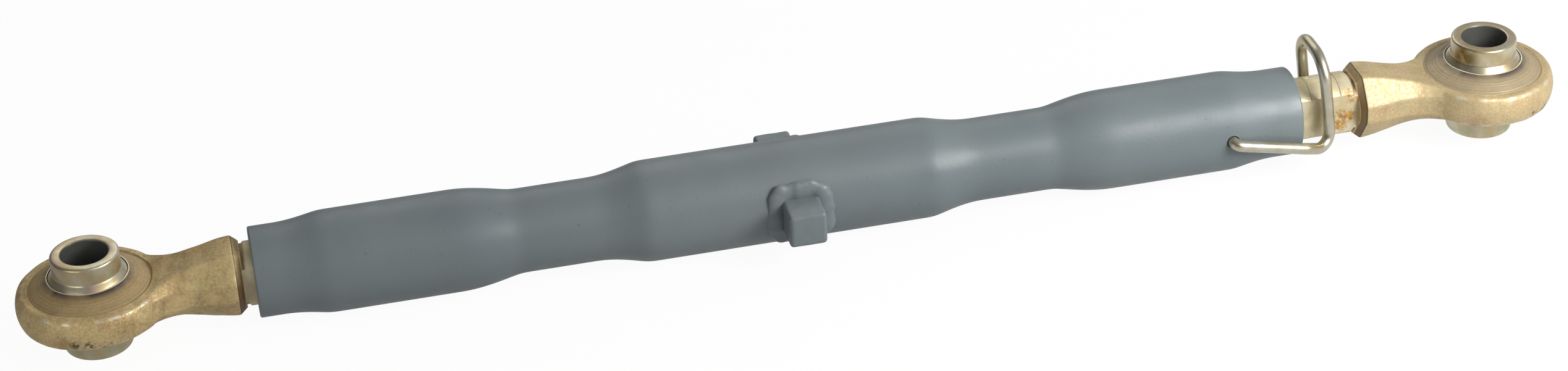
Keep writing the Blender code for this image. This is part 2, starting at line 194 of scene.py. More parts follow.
def revolve(name: str, outline: Outline, facets: int, axis: Axis, hollow: bool = False) -> Piece:
    """Turn an outline about an axis.

    Args:
        name: Name of the object.
        outline: Points as (along the axis, radius). A solid one starts and ends at radius 0.
        facets: Facets round the axis.
        axis: Axis that it is turned about.
        hollow: True for a closed loop that stays clear of the axis.

    Returns:
        The turned solid.
    """
    shape = bmesh.new()
    rings = []
    for along, radius in outline:
        ring = []
        for facet in range(facets if radius > 0 else 1):
            turn = math.tau * facet / facets
            across, up = radius * math.cos(turn), radius * math.sin(turn)
            point = (along, across, up) if axis is Axis.ALONG else (across, up, along)
            ring.append(shape.verts.new(point))
        rings.append(ring)
    pairs = list(zip(rings, rings[1:]))
    if hollow:
        pairs.append((rings[-1], rings[0]))
    for first, second in pairs:
        for facet in range(facets):
            after = (facet + 1) % facets
            corners = [
                first[facet % len(first)],
                first[after % len(first)],
                second[after % len(second)],
                second[facet % len(second)],
            ]
            shape.faces.new(list(dict.fromkeys(corners)))
    return add_object(name, shape)


def skin(name: str, sections: Sequence[Sequence[Vector]]) -> Piece:
    """Skin a row of closed sections that have the same number of points, and close its ends.

    Args:
        name: Name of the object.
        sections: The sections, in order.

    Returns:
        The skinned solid.
    """
    shape = bmesh.new()
    rings = [[shape.verts.new(point) for point in section] for section in sections]
    count = len(rings[0])
    for first, second in zip(rings, rings[1:]):
        for index in range(count):
            after = (index + 1) % count
            shape.faces.new((first[index], first[after], second[after], second[index]))
    shape.faces.new(rings[0])
    shape.faces.new(rings[-1])
    return add_object(name, shape)


def block(name: str, low: Vector, high: Vector) -> Piece:
    """Box between two corners."""
    shape = bmesh.new()
    bmesh.ops.create_cube(shape, size=1)
    bmesh.ops.scale(shape, vec=high - low, verts=shape.verts)
    bmesh.ops.translate(shape, vec=(high + low) / 2, verts=shape.verts)
    return add_object(name, shape)


def settle(piece: Piece) -> None:
    """Replace an object's mesh by what its modifiers make of it."""
    graph = bpy.context.evaluated_depsgraph_get()
    result = bpy.data.meshes.new_from_object(piece.evaluated_get(graph))
    piece.modifiers.clear()
    piece.data = result


def cut(piece: Piece, tools: Sequence[Piece]) -> None:
    """Cut a piece with tools, and drop the tools.

    Args:
        piece: The object that is changed.
        tools: The cutters.
    """
    for tool in tools:
        step = piece.modifiers.new(tool.name, "BOOLEAN")
        step.operation = "DIFFERENCE"
        step.solver = "EXACT"
        step.object = tool
    settle(piece)
    for tool in tools:
        bpy.data.objects.remove(tool)


def melt(piece: Piece, voxel: float, rounds: int) -> None:
    """Remake a piece's mesh from voxels, then let it flow for some rounds of smoothing."""
    remesh = piece.modifiers.new("melt", "REMESH")
    remesh.mode = "VOXEL"
    remesh.voxel_size = voxel
    smooth = piece.modifiers.new("flow", "SMOOTH")
    smooth.iterations = rounds
    settle(piece)


def fuse(name: str, parts: Sequence[Piece], voxel: float, rounds: int) -> Piece:
    """Melt overlapping solids into one, as a forging die or a weld pool does.

    Args:
        name: Name of the object.
        parts: The solids, which are dropped.
        voxel: Size of the voxels, which also sets the edge length.
        rounds: Rounds of smoothing that follow.

    Returns:
        The fused solid.
    """
    shape = bmesh.new()
    for part in parts:
        part.data.transform(part.matrix_world)
        shape.from_mesh(part.data)
        bpy.data.objects.remove(part)
    mesh = bpy.data.meshes.new(name)
    shape.to_mesh(mesh)
    shape.free()
    piece = linked(name, mesh)
    melt(piece, voxel, rounds)
    return piece


def roughen(piece: Piece, height: float, size: float) -> None:
    """Move the points of a mesh along their normals by smooth noise.

    Args:
        piece: The object that is changed.
        height: Largest move.
        size: Size of the hills and hollows.
    """
    mesh = piece.data
    moves = [vertex.normal * noise.noise(vertex.co / size) * height for vertex in mesh.vertices]
    for vertex, move in zip(mesh.vertices, moves):
        vertex.co += move
    mesh.update()


def crisp(piece: Piece, degrees: float = 35) -> None:
    """Shade a piece smooth, but for edges sharper than an angle."""
    piece.data.shade_smooth()
    piece.data.set_sharp_from_angle(angle=math.radians(degrees))


def add_node(
    tree: Tree,
    kind: str,
    settings: Optional[dict[str, Any]] = None,
    inputs: Optional[dict[Any, Any]] = None,
) -> bpy.types.Node:
    """Add one node with its settings and links.

    Args:
        tree: Tree that takes the node.
        kind: Blender's name for the kind of node.
        settings: Properties of the node.
        inputs: Sockets by name or number, each with a value or a socket to link.

    Returns:
        The node.
    """
    node = tree.nodes.new(kind)
    for key, value in (settings or {}).items():
        setattr(node, key, value)
    for key, value in (inputs or {}).items():
        if isinstance(value, Socket):
            tree.links.new(value, node.inputs[key])
        else:
            node.inputs[key].default_value = value
    return node


def centred(tree: Tree, centre: Vector) -> Socket:
    """Object coordinates measured from a point on the link."""
    coords = add_node(tree, "ShaderNodeTexCoord")
    return moved(tree, coords.outputs["Object"], -centre)


def moved(tree: Tree, where: Socket, move: Vector) -> Socket:
    """Coordinates shifted by a move."""
    inputs = {"Vector": where, "Location": move}
    return add_node(tree, "ShaderNodeMapping", None, inputs).outputs["Vector"]


def start_group(name: str, numbers: dict[str, float]) -> tuple[Tree, Any]:
    """Start a Geometry Nodes group with named inputs.

    Args:
        name: Name of the group.
        numbers: Its number inputs, each with what it has at first.

    Returns:
        The tree and the outputs of its input node.
    """
    tree = bpy.data.node_groups.new(name, "GeometryNodeTree")
    face = tree.interface
    face.new_socket("Geometry", in_out="INPUT", socket_type="NodeSocketGeometry")
    for label, number in numbers.items():
        kind = "NodeSocketInt" if isinstance(number, int) else "NodeSocketFloat"
        face.new_socket(label, in_out="INPUT", socket_type=kind).default_value = number
    face.new_socket("Material", in_out="INPUT", socket_type="NodeSocketMaterial")
    face.new_socket("Geometry", in_out="OUTPUT", socket_type="NodeSocketGeometry")
    return tree, add_node(tree, "NodeGroupInput").outputs


def end_group(tree: Tree, source: Any, shape: Socket) -> None:
    """Make a group's shape real, give it the group's material and send it out.

    Args:
        tree: The group.
        source: Outputs of its input node.
        shape: The shape.
    """
    real = add_node(tree, "GeometryNodeRealizeInstances", None, {"Geometry": shape})
    inputs = {"Geometry": real.outputs["Geometry"], "Material": source["Material"]}
    dressed = add_node(tree, "GeometryNodeSetMaterial", None, inputs)
    add_node(tree, "NodeGroupOutput", None, {"Geometry": dressed.outputs["Geometry"]})


def grow(piece: Piece, tree: Tree, values: dict[str, Any]) -> None:
    """Run a Geometry Nodes group on a piece and keep the mesh that it makes.

    Args:
        piece: The piece.
        tree: The group.
        values: Its inputs by name.
    """
    layer = piece.modifiers.new(tree.name, "NODES")
    layer.node_group = tree
    sockets = {item.name: item.identifier for item in tree.interface.items_tree}
    for label, value in values.items():
        layer[sockets[label]] = value
    settle(piece)


def split(tree: Tree, where: Socket) -> Any:
    """Outputs X, Y and Z of a vector."""
    return add_node(tree, "ShaderNodeSeparateXYZ", None, {"Vector": where}).outputs


def maths(tree: Tree, operation: str, *values: Any) -> Socket:
    """One step of arithmetic on numbers or sockets."""
    settings = {"operation": operation}
    return add_node(tree, "ShaderNodeMath", settings, dict(enumerate(values))).outputs[0]


def times(tree: Tree, first: Any, *others: Any) -> Socket:
    """Product of numbers or sockets."""
    for other in others:
        first = maths(tree, "MULTIPLY", first, other)
    return first


def mixed(tree: Tree, share: Any, first: Any, second: Any) -> Socket:
    """Mix of two numbers or sockets."""
    inputs = {"Factor": share, 2: first, 3: second}
    return add_node(tree, "ShaderNodeMix", {"data_type": "FLOAT"}, inputs).outputs[0]


def length(tree: Tree, vector: Socket) -> Socket:
    """Length of a vector."""
    return add_node(tree, "ShaderNodeVectorMath", {"operation": "LENGTH"}, {0: vector}).outputs["Value"]


def remap(
    tree: Tree,
    value: Socket,
    source: Span = (0.0, 1.0),
    target: Span = (0.0, 1.0),
    kind: str = "LINEAR",
) -> Socket:
    """Stretch a value from one range onto another, and hold it there.

    Args:
        tree: Tree that takes the node.
        value: The value.
        source: Range that it comes from.
        target: Range that it gets.
        kind: Blender's name for the way between the ends.

    Returns:
        The value socket.
    """
    inputs = {"Value": value, "From Min": source[0], "From Max": source[1]}
    inputs |= {"To Min": target[0], "To Max": target[1]}
    return add_node(tree, "ShaderNodeMapRange", {"interpolation_type": kind}, inputs).outputs["Result"]


def band(tree: Tree, value: Socket, start: float, end: float) -> Socket:
    """Smooth ramp of a value, 0 at start and 1 at end."""
    return remap(tree, value, (start, end), kind="SMOOTHSTEP")


def near_spot(tree: Tree, place: Vector, size: float) -> Socket:
    """Share that is 1 at a spot on the link and falls to 0 at a distance from it."""
    return band(tree, length(tree, centred(tree, place)), size, size * SPOT_CORE)


def bumped(tree: Tree, height: Socket, distance: float, normal: Optional[Socket] = None) -> Socket:
    """Bump of a real height, over another bump if there is one.

    Args:
        tree: Tree of the material.
        height: Height, from 0 to 1.
        distance: Real height of 1.
        normal: The bump beneath.

    Returns:
        The normal socket.
    """
    inputs = {"Height": height, "Distance": distance, "Strength": 1.0}
    inputs |= {"Normal": normal} if normal is not None else {}
    return add_node(tree, "ShaderNodeBump", None, inputs).outputs["Normal"]


def radius_of(tree: Tree, where: Socket) -> Socket:
    """Distance from the vertical axis."""
    parts = split(tree, where)
    flat = add_node(tree, "ShaderNodeCombineXYZ", None, {"X": parts["X"], "Y": parts["Y"]})
    return length(tree, flat.outputs["Vector"])


class Coat:
    """A material that is mixed tone over tone, measured from a point on the link."""

    def __init__(self, name: str, centre: Vector, tone: str) -> None:
        """Start the material.

        Args:
            name: Name of the material.
            centre: Point that its coordinates are measured from.
            tone: Tone beneath all others.
        """
        self.material = bpy.data.materials.new(name)
        self.material.use_nodes = True
        self.tree = self.material.node_tree
        self.where = centred(self.tree, centre)
        self.colour: Any = linear(tone)

    def speckle(
        self,
        size: float,
        low: float = 0.35,
        high: float = 0.65,
        detail: float = 3.0,
        where: Optional[Socket] = None,
    ) -> Socket:
        """Noise of a real size, stretched to run from 0 to 1. A Noise holds the first four.

        Args:
            size: Size of its features.
            low: Noise level that becomes 0.
            high: Noise level that becomes 1.
            detail: Octaves of detail.
            where: Coordinates, if not the coat's own.

        Returns:
            The value socket.
        """
        inputs = {"Vector": self.where if where is None else where, "Scale": 1 / size, "Detail": detail}
        grain = add_node(self.tree, "ShaderNodeTexNoise", None, inputs)
        return remap(self.tree, grain.outputs["Fac"], (low, high))

    def add(self, tone: str, *shares: Any) -> None:
        """Mix a tone into the colour, by the product of its shares."""
        inputs = {"Factor": times(self.tree, *shares), 6: self.colour, 7: linear(tone)}
        self.colour = add_node(self.tree, "ShaderNodeMix", {"data_type": "RGBA"}, inputs).outputs[2]

    def done(self, roughness: Any, metallic: Any, normal: Optional[Socket]) -> Finish:
        """Hand the colour and the rest to the shader.

        Args:
            roughness: Roughness, a number or a socket.
            metallic: Metallic share, a number or a socket.
            normal: Normal of the bumps, if it has any.

        Returns:
            The material.
        """
        shader = self.tree.nodes["Principled BSDF"]
        values = {"Base Color": self.colour, "Roughness": roughness, "Metallic": metallic}
        values["Normal"] = normal
        for label, value in values.items():
            if isinstance(value, Socket):
                self.tree.links.new(value, shader.inputs[label])
            elif value is not None:
                shader.inputs[label].default_value = value
        return self.material


@dataclass(frozen=True)
class SlateEnamel:
    """Sprayed alkyd enamel on steel tube: a dull sheen, faint orange peel and dust nibs."""

    name: str = "slate_enamel"
    body: str = "#7b8485"
    shade: str = "#727c7f"
    nib: str = "#4d5658"
    roughness: Span = (0.36, 0.46)
    clouds: Noise = (55 * MM,)
    haze: Noise = (11 * MM,)
    nibs: Noise = (2.4 * MM, 0.74, 0.79, 1.0)
    nib_share: float = 0.35
    peel: Noise = (1.6 * MM, 0.3, 0.7, 1.0)
    peel_height: float = 0.02 * MM

    def make(self) -> Finish:
        """Mix the material."""
        coat = Coat(self.name, Vector(), self.body)
        coat.add(self.shade, coat.speckle(*self.clouds))
        coat.add(self.nib, coat.speckle(*self.nibs), self.nib_share)
        rough = remap(coat.tree, coat.speckle(*self.haze), target=self.roughness)
        normal = bumped(coat.tree, coat.speckle(*self.peel), self.peel_height)
        return coat.done(rough, 0.0, normal)


@dataclass(frozen=True)
class YellowZincForging:
    """Yellow chromate zinc on a drop forging: sandy satin gold, mottled, a darker coined face, with
    painted shade round the ball and on the shoulder ramp, and a painted highlight on the rim of the
    eye.
    """

    name: str
    centre: Vector
    gold: str = "#cbb587"
    pale: str = "#dbcda6"
    brown: str = "#ba9e6f"
    pink: str = "#c9a98b"
    green: str = "#b9b48b"
    recess: str = "#b0a082"
    ring_tint: str = "#857a6c"
    shadow: str = "#57524e"
    painted_shade_brown: str = "#7d6440"
    # Dark tone of the painted shade line at the ramp's edge, also used for the scuffs.
    crease: str = "#39351f"
    lip: str = "#ece4cb"
    dirt_share: float = 0.15
    tint_share: float = 0.35
    pale_share: float = 0.5
    recess_share: float = 0.65
    ring_share: float = 0.35
    crease_share: float = 0.8
    edge_share: float = 0.5
    scuff_share: float = 0.85
    mottle: Noise = (11 * MM, 0.3, 0.7, 4.0)
    fleck: Noise = (1.1 * MM, 0.35, 0.7, 2.0)
    pink_spots: Noise = (13 * MM, 0.52, 0.68)
    green_spots: Noise = (11 * MM, 0.52, 0.68)
    dirt: Noise = (5 * MM, 0.52, 0.74, 5.0)
    rings: Noise = (0.9 * MM, 0.4, 0.66, 2.0)
    # Noise that breaks up the painted shade round the ball.
    stains: Noise = (14 * MM, 0.25, 0.6)
    rub_highlights: Noise = (5 * MM, 0.46, 0.6)
    rags: Noise = (1.6 * MM, 0.44, 0.56, 4.0)
    hills: Noise = (6 * MM, 0.3, 0.7, 2.0)
    grain: Noise = (0.7 * MM, 0.3, 0.7, 2.0)
    ramp_start: float = 58.7 * MM
    ramp_end: float = 61.15 * MM
    # Pale tone of the worn rim, which is also its painted highlight.
    edge: str = "#f1e9d0"
    roughness: Span = (0.56, 0.42)
    edge_roughness: float = 0.26
    metal: float = 0.35
    second_place: Vector = field(default_factory=lambda: Vector((0.3, 0.1, 0.2)))
    blur: float = 0.1 * MM
    ring_height: float = 0.08 * MM
    grain_height: float = 0.035 * MM
    hill_height: float = 0.16 * MM
    lip_radius: float = 16.95 * MM
    lip_shade_radius: float = 20.5 * MM
    face_radius: float = 25.4 * MM
    face_height: float = 6.5 * MM
    brown_heights: Span = (15 * MM, 4 * MM)
    brown_shares: Span = (0.45, 1.0)
    rim_radii: Span = (28.4 * MM, 29.2 * MM)
    rim_heights: Span = (5.2 * MM, 5.9 * MM)
    rim_reach: Span = (24 * MM, 21 * MM)
    scuffs: tuple[Vector, ...] = ()
    scuff_size: float = 3.4 * MM

    def make(self) -> Finish:
        """Mix the material."""
        coat = Coat(self.name, self.centre, self.gold)
        tree, where = coat.tree, coat.where
        radius, parts = radius_of(tree, where), split(tree, where)
        along, height = (maths(tree, "ABSOLUTE", parts[axis]) for axis in "XZ")
        fine = coat.speckle(*self.fleck)
        coat.add(self.brown, coat.speckle(*self.mottle))
        coat.add(self.pale, fine, self.pale_share)
        coat.add(self.pink, coat.speckle(*self.pink_spots), self.tint_share)
        elsewhere = moved(tree, where, self.second_place)
        coat.add(self.green, coat.speckle(*self.green_spots, where=elsewhere), self.tint_share)
        coat.add(self.shadow, coat.speckle(*self.dirt, where=elsewhere), self.dirt_share)
        above = band(tree, height, self.face_height - 0.3 * MM, self.face_height)
        inside = band(tree, radius, self.face_radius + self.blur, self.face_radius - self.blur)
        face = times(tree, above, inside)
        coat.add(self.recess, face, self.recess_share)
        lathe = add_node(tree, "ShaderNodeCombineXYZ", None, {"X": radius}).outputs["Vector"]
        rings = times(tree, face, coat.speckle(*self.rings, where=lathe))
        coat.add(self.ring_tint, rings, self.ring_share)
        # Painted shade on the coined face round the ball, broken up by noise.
        near_lip = band(tree, radius, self.lip_shade_radius, self.lip_radius)
        coat.add(self.shadow, near_lip, face, coat.speckle(*self.stains))
        on_lip = band(tree, radius, self.lip_radius + self.blur, self.lip_radius - self.blur)
        coat.add(self.lip, on_lip, face)
        # Painted shade on the shoulder ramp: brown, and darker towards its bottom.
        ramp = band(tree, along, self.ramp_start - 0.25 * MM, self.ramp_start)
        ramp = times(tree, ramp, band(tree, along, self.ramp_end, self.ramp_end - 0.15 * MM))
        coat.add(self.painted_shade_brown, ramp, remap(tree, parts["Z"], self.brown_heights, self.brown_shares))
        # Painted shade: a dark line along the edge where the shoulder ramp starts.
        brink = band(tree, along, self.ramp_start + 0.45 * MM, self.ramp_start + self.blur)
        coat.add(self.crease, ramp, brink, self.crease_share)
        # Rubbed rim of the eye: paler, smoother worn zinc, and a painted highlight along its top edge
        # away from the neck.
        marks = ((radius, self.rim_radii), (height, self.rim_heights), (along, self.rim_reach))
        rim = times(tree, *(band(tree, value, *ends) for value, ends in marks))
        rubbed_highlight = times(tree, rim, coat.speckle(*self.rub_highlights))
        coat.add(self.edge, rubbed_highlight, self.edge_share)
        ragged = coat.speckle(*self.rags)
        for place in self.scuffs:
            near = near_spot(tree, self.centre + place, self.scuff_size)
            coat.add(self.crease, near, ragged, self.scuff_share)
        rough = mixed(tree, rubbed_highlight, remap(tree, fine, target=self.roughness), self.edge_roughness)
        normal = bumped(tree, coat.speckle(*self.hills), self.hill_height)
        normal = bumped(tree, rings, self.ring_height, normal)
        normal = bumped(tree, coat.speckle(*self.grain), self.grain_height, normal)
        return coat.done(rough, self.metal, normal)


@dataclass(frozen=True)
class TurnedZinc:
    """Yellow zinc over turned steel: smooth and bright, faint tool rings, pink and green tints."""

    name: str
    centre: Vector
    silver: str = "#dbd2b8"
    gold: str = "#cbb98f"
    pink: str = "#c3ab9e"
    green: str = "#aeb694"
    # Dark grey of the painted shade inside the bore.
    bore: str = "#42484b"
    roughness: Span = (0.26, 0.38)
    ring_height: float = 0.006 * MM
    ring_stretch: tuple[float, float, float] = (0.02, 0.02, 1.0)
    bore_radius: float = 10.1 * MM
    metal: Span = (0.9, 0.25)
    second_place: Vector = field(default_factory=lambda: Vector((0.2, 0.4, 0.1)))
    clouds: Noise = (12 * MM, 0.4, 0.6)
    pink_spots: Noise = (8 * MM, 0.5, 0.66)
    green_spots: Noise = (7 * MM, 0.5, 0.66)
    cloudy: Noise = (5 * MM, 0.25, 0.55)
    smear: Noise = (6 * MM,)
    rings: Noise = (0.35 * MM, 0.35, 0.65, 1.0)
    pink_share: float = 0.6
    green_share: float = 0.5
    bore_share: float = 0.9
    painted_reflections: tuple[Vector, ...] = ()
    reflection_size: float = 8 * MM
    reflection_tone: str = "#7d6e42"

    def make(self) -> Finish:
        """Mix the material."""
        coat = Coat(self.name, self.centre, self.silver)
        tree, where = coat.tree, coat.where
        coat.add(self.gold, coat.speckle(*self.clouds))
        coat.add(self.pink, coat.speckle(*self.pink_spots), self.pink_share)
        elsewhere = moved(tree, where, self.second_place)
        coat.add(self.green, coat.speckle(*self.green_spots, where=elsewhere), self.green_share)
        cloudy = coat.speckle(*self.cloudy)
        # Painted reflection: dark olive patches on the collar where it mirrors something dark.
        for place in self.painted_reflections:
            coat.add(self.reflection_tone, near_spot(tree, self.centre + place, self.reflection_size), cloudy)
        # Painted shade inside the bore: a dark grey over the bore and its mouth.
        hole = band(tree, radius_of(tree, where), self.bore_radius, self.bore_radius - 0.3 * MM)
        coat.add(self.bore, hole, self.bore_share)
        rough = remap(tree, coat.speckle(*self.smear), target=self.roughness)
        inputs = {"Vector": where, "Scale": self.ring_stretch}
        turned = add_node(tree, "ShaderNodeMapping", None, inputs)
        rings = coat.speckle(*self.rings, where=turned.outputs["Vector"])
        metal = remap(tree, hole, target=self.metal)
        return coat.done(rough, metal, bumped(tree, rings, self.ring_height))


@dataclass(frozen=True)
class RustedShank:
    """Zinc over a turned and milled shank, with orange rust breaking through on its flats."""

    name: str
    centre: Vector
    zinc: str = "#e3d7b5"
    dull: str = "#cdbe96"
    rust: str = "#bd8a25"
    deep_rust: str = "#8f5518"
    painted_shade_brown: str = "#6b4f33"
    stains: tuple[Vector, ...] = ()
    stain_size: float = 4.6 * MM
    undercut: float = 62.6 * MM
    flat_top: float = 8.1 * MM
    metal: float = 0.35
    rust_metal: float = 0.1
    clouds: Noise = (8 * MM, 0.4, 0.62, 4.0)
    rags: Noise = (2.2 * MM, 0.36, 0.62, 5.0)
    cores: Noise = (1.3 * MM, 0.52, 0.62)
    grain: Noise = (1.1 * MM,)
    core_share: float = 0.6
    brown_share: float = 0.85
    grain_height: float = 0.03 * MM
    roughness: Span = (0.3, 0.46)

    def make(self) -> Finish:
        """Mix the material."""
        coat = Coat(self.name, self.centre, self.zinc)
        tree, parts = coat.tree, split(coat.tree, coat.where)
        clouds = coat.speckle(*self.clouds)
        coat.add(self.dull, clouds)
        ragged = coat.speckle(*self.rags)
        core = coat.speckle(*self.cores)
        metal: Any = self.metal
        for place in self.stains:
            near = near_spot(tree, place, self.stain_size)
            stain = times(tree, near, ragged)
            coat.add(self.rust, stain)
            coat.add(self.deep_rust, core, near, self.core_share)
            metal = mixed(tree, stain, metal, self.rust_metal)
        along, up = (maths(tree, "ABSOLUTE", parts[axis]) for axis in "XZ")
        # Painted shade in the undercut by the shoulder, off the flats.
        near_wall = band(tree, along, self.undercut + 0.3 * MM, self.undercut)
        off_flat = band(tree, up, self.flat_top - 0.4 * MM, self.flat_top)
        coat.add(self.painted_shade_brown, near_wall, off_flat, self.brown_share)
        rough = remap(tree, clouds, target=self.roughness)
        return coat.done(rough, metal, bumped(tree, coat.speckle(*self.grain), self.grain_height))


@dataclass(frozen=True)
class DrawnWireZinc:
    """Bright zinc on drawn spring wire: silvery, a little yellow, smooth with soft streaks."""

    name: str = "drawn_wire_zinc"
    silver: str = "#dad6c6"
    yellow: str = "#cbc0a0"
    clouds: Noise = (9 * MM, 0.4, 0.62)
    smear: Noise = (4 * MM,)
    grain: Noise = (2.5 * MM,)
    grain_height: float = 0.01 * MM
    roughness: Span = (0.3, 0.38)

    def make(self) -> Finish:
        """Mix the material."""
        coat = Coat(self.name, Vector(), self.silver)
        coat.add(self.yellow, coat.speckle(*self.clouds))
        rough = remap(coat.tree, coat.speckle(*self.smear), target=self.roughness)
        return coat.done(rough, 1.0, bumped(coat.tree, coat.speckle(*self.grain), self.grain_height))


@dataclass(frozen=True)
class OiledBushSteel:
    """Free-cutting steel of a bush, turned and oiled: dark grey with a soft shine."""

    name: str = "oiled_bush_steel"
    steel: str = "#77736b"
    oil: str = "#4b463d"
    film: Noise = (7 * MM,)
    roughness: Span = (0.42, 0.25)

    def make(self) -> Finish:
        """Mix the material."""
        coat = Coat(self.name, Vector(), self.steel)
        film = coat.speckle(*self.film)
        coat.add(self.oil, film)
        return coat.done(remap(coat.tree, film, target=self.roughness), 1.0, None)


@dataclass(frozen=True)
class Layout:
    """Places of the pieces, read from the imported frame."""

    barrel_centre: Vector
    barrel_length: float
    barrel_radius: float
    balls: dict[Side, Vector]
    ball_width: float
    bail_pivot: Vector
    lug_centre: Vector
    lug_size: Vector

    @classmethod
    def read(cls, frame: dict[str, Any]) -> "Layout":
        """Work the places out from the frame.


        Returns:
            The layout.
        """
        low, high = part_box("barrel_tube")
        balls = {}
        for side in (Side.LEFT, Side.RIGHT):
            ball_low, ball_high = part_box(f"{side.value}_ball")
            balls[side] = (ball_low + ball_high) / 2
        joints = {joint["name"]: joint for joint in frame["joints"]}
        lug_low, lug_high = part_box("rear_lug")
        return cls(
            barrel_centre=(low + high) / 2,
            barrel_length=high.x - low.x,
            barrel_radius=(high.z - low.z) / 2,
            balls=balls,
            ball_width=ball_high.z - ball_low.z,
            bail_pivot=Vector(joints["bail_swing"]["pos_m"]),
            lug_centre=Vector(((lug_low.x + lug_high.x) / 2, 0, (lug_low.z + lug_high.z) / 2)),
            lug_size=Vector((lug_high.x - lug_low.x, lug_high.y, lug_high.z - lug_low.z)),
        )


def seat(
    piece: Piece,
    finish: Finish,
    place: Matrix,
    body: str,
    slot: str,
    *nodes: str,
) -> None:
    """Put a finished mesh in its place, with its object at the origin, and hand it to its body.

    Args:
        piece: The piece.
        finish: Its material.
        place: Where its mesh goes.
        body: Body that it rides on.
        slot: Material slot of the record; not used.
        nodes: Nodes that it stands for.
    """
    paint(piece, finish)
    piece.data.transform(place)
    piece.matrix_world = Matrix.Identity(4)
    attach(piece, body)
    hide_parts(*nodes)
    LOG.info("%s: %d faces on %s", piece.name, len(piece.data.polygons), body)


@dataclass
class Barrel:
    """Swaged barrel tube, enamelled, with a drilled hole on each side for the bail."""

    layout: Layout
    finish: Finish
    wall: float = 3.5 * MM
    neck_radius: float = 17.7 * MM
    end_radius: float = 19.1 * MM
    end_bore: float = 14.0 * MM
    neck_bore: float = 14.2 * MM
    end_length: float = 11 * MM
    end_ramp: float = 18 * MM
    seat_length: float = 55 * MM
    inner_ramp: float = 25 * MM
    neck_length: float = 33 * MM
    middle_ramp: float = 21 * MM
    edge_round: float = 0.8 * MM
    hole_radius: float = 2.85 * MM
    facets: int = 144
    pace: float = 1.5 * MM
    softening: int = 4

    def stations(self) -> list[tuple[float, float, float]]:
        """Distance from the middle, outer radius and bore radius, from the end inwards."""
        radius = self.layout.barrel_radius
        bore = radius - self.wall
        spans = [self.end_length, self.end_ramp, self.seat_length, self.inner_ramp, self.neck_length]
        spans.append(self.middle_ramp)
        radii = [
            (self.end_radius, self.end_bore),
            (radius, bore),
            (radius, bore),
            (self.neck_radius, self.neck_bore),
            (self.neck_radius, self.neck_bore),
            (radius, bore),
        ]
        along = self.layout.barrel_length / 2
        rows = []
        for span, (outer, inner) in zip(spans, radii):
            along -= span
            rows.append((along, outer, inner))
        return rows

    def half_profile(self, column: int) -> Outline:
        """Half of the outside or the bore, from the end inwards, its creases softened."""
        rows = self.stations()
        points = [(rows[0][0], rows[0][column])]
        rows.append((0.0, rows[-1][1], rows[-1][2]))
        for start, end in zip(rows, rows[1:]):
            steps = max(1, round((start[0] - end[0]) / self.pace))
            for step in range(1, steps + 1):
                share = step / steps
                radius = way(start[column], end[column], swage(share))
                points.append((way(start[0], end[0], share), radius))
        for _ in range(self.softening):
            inner = []
            for before, here, after in zip(points, points[1:], points[2:]):
                inner.append((here[0], (before[1] + 2 * here[1] + after[1]) / 4))
            points = [points[0]] + inner + [points[-1]]
        return points

    def shape(self) -> Piece:
        """Turn the tube and drill it."""
        end = self.layout.barrel_length / 2
        corner = (end - self.edge_round, self.end_radius - self.edge_round)
        outside = arc(corner, self.edge_round, 0, math.pi / 2, 4)
        outside += self.half_profile(1)
        bore_corner = (end - self.edge_round, self.end_bore + self.edge_round)
        bore = arc(bore_corner, self.edge_round, 0, -math.pi / 2, 3)
        bore += self.half_profile(2)
        outline = mirrored(outside[:-1])
        inner = mirrored(bore[:-1])
        outline += list(reversed(inner))
        tube = revolve("barrel_shell", outline, self.facets, Axis.ALONG, hollow=True)
        reach = self.layout.barrel_radius * 1.2
        pin = [(-reach, 0), (-reach, self.hole_radius), (reach, self.hole_radius), (reach, 0)]
        drill = revolve("drill", pin, 48, Axis.UP)
        offset = self.layout.bail_pivot - self.layout.barrel_centre
        drill.data.transform(Matrix.Translation(offset) @ Matrix.Rotation(math.pi / 2, 4, "X"))
        cut(tube, [drill])
        crisp(tube)
        return tube

    def build(self) -> None:
        """Make the tube and put it in place."""
        place = Matrix.Translation(self.layout.barrel_centre)
        seat(self.shape(), self.finish, place, "barrel", "barrel_enamel", "barrel_tube")


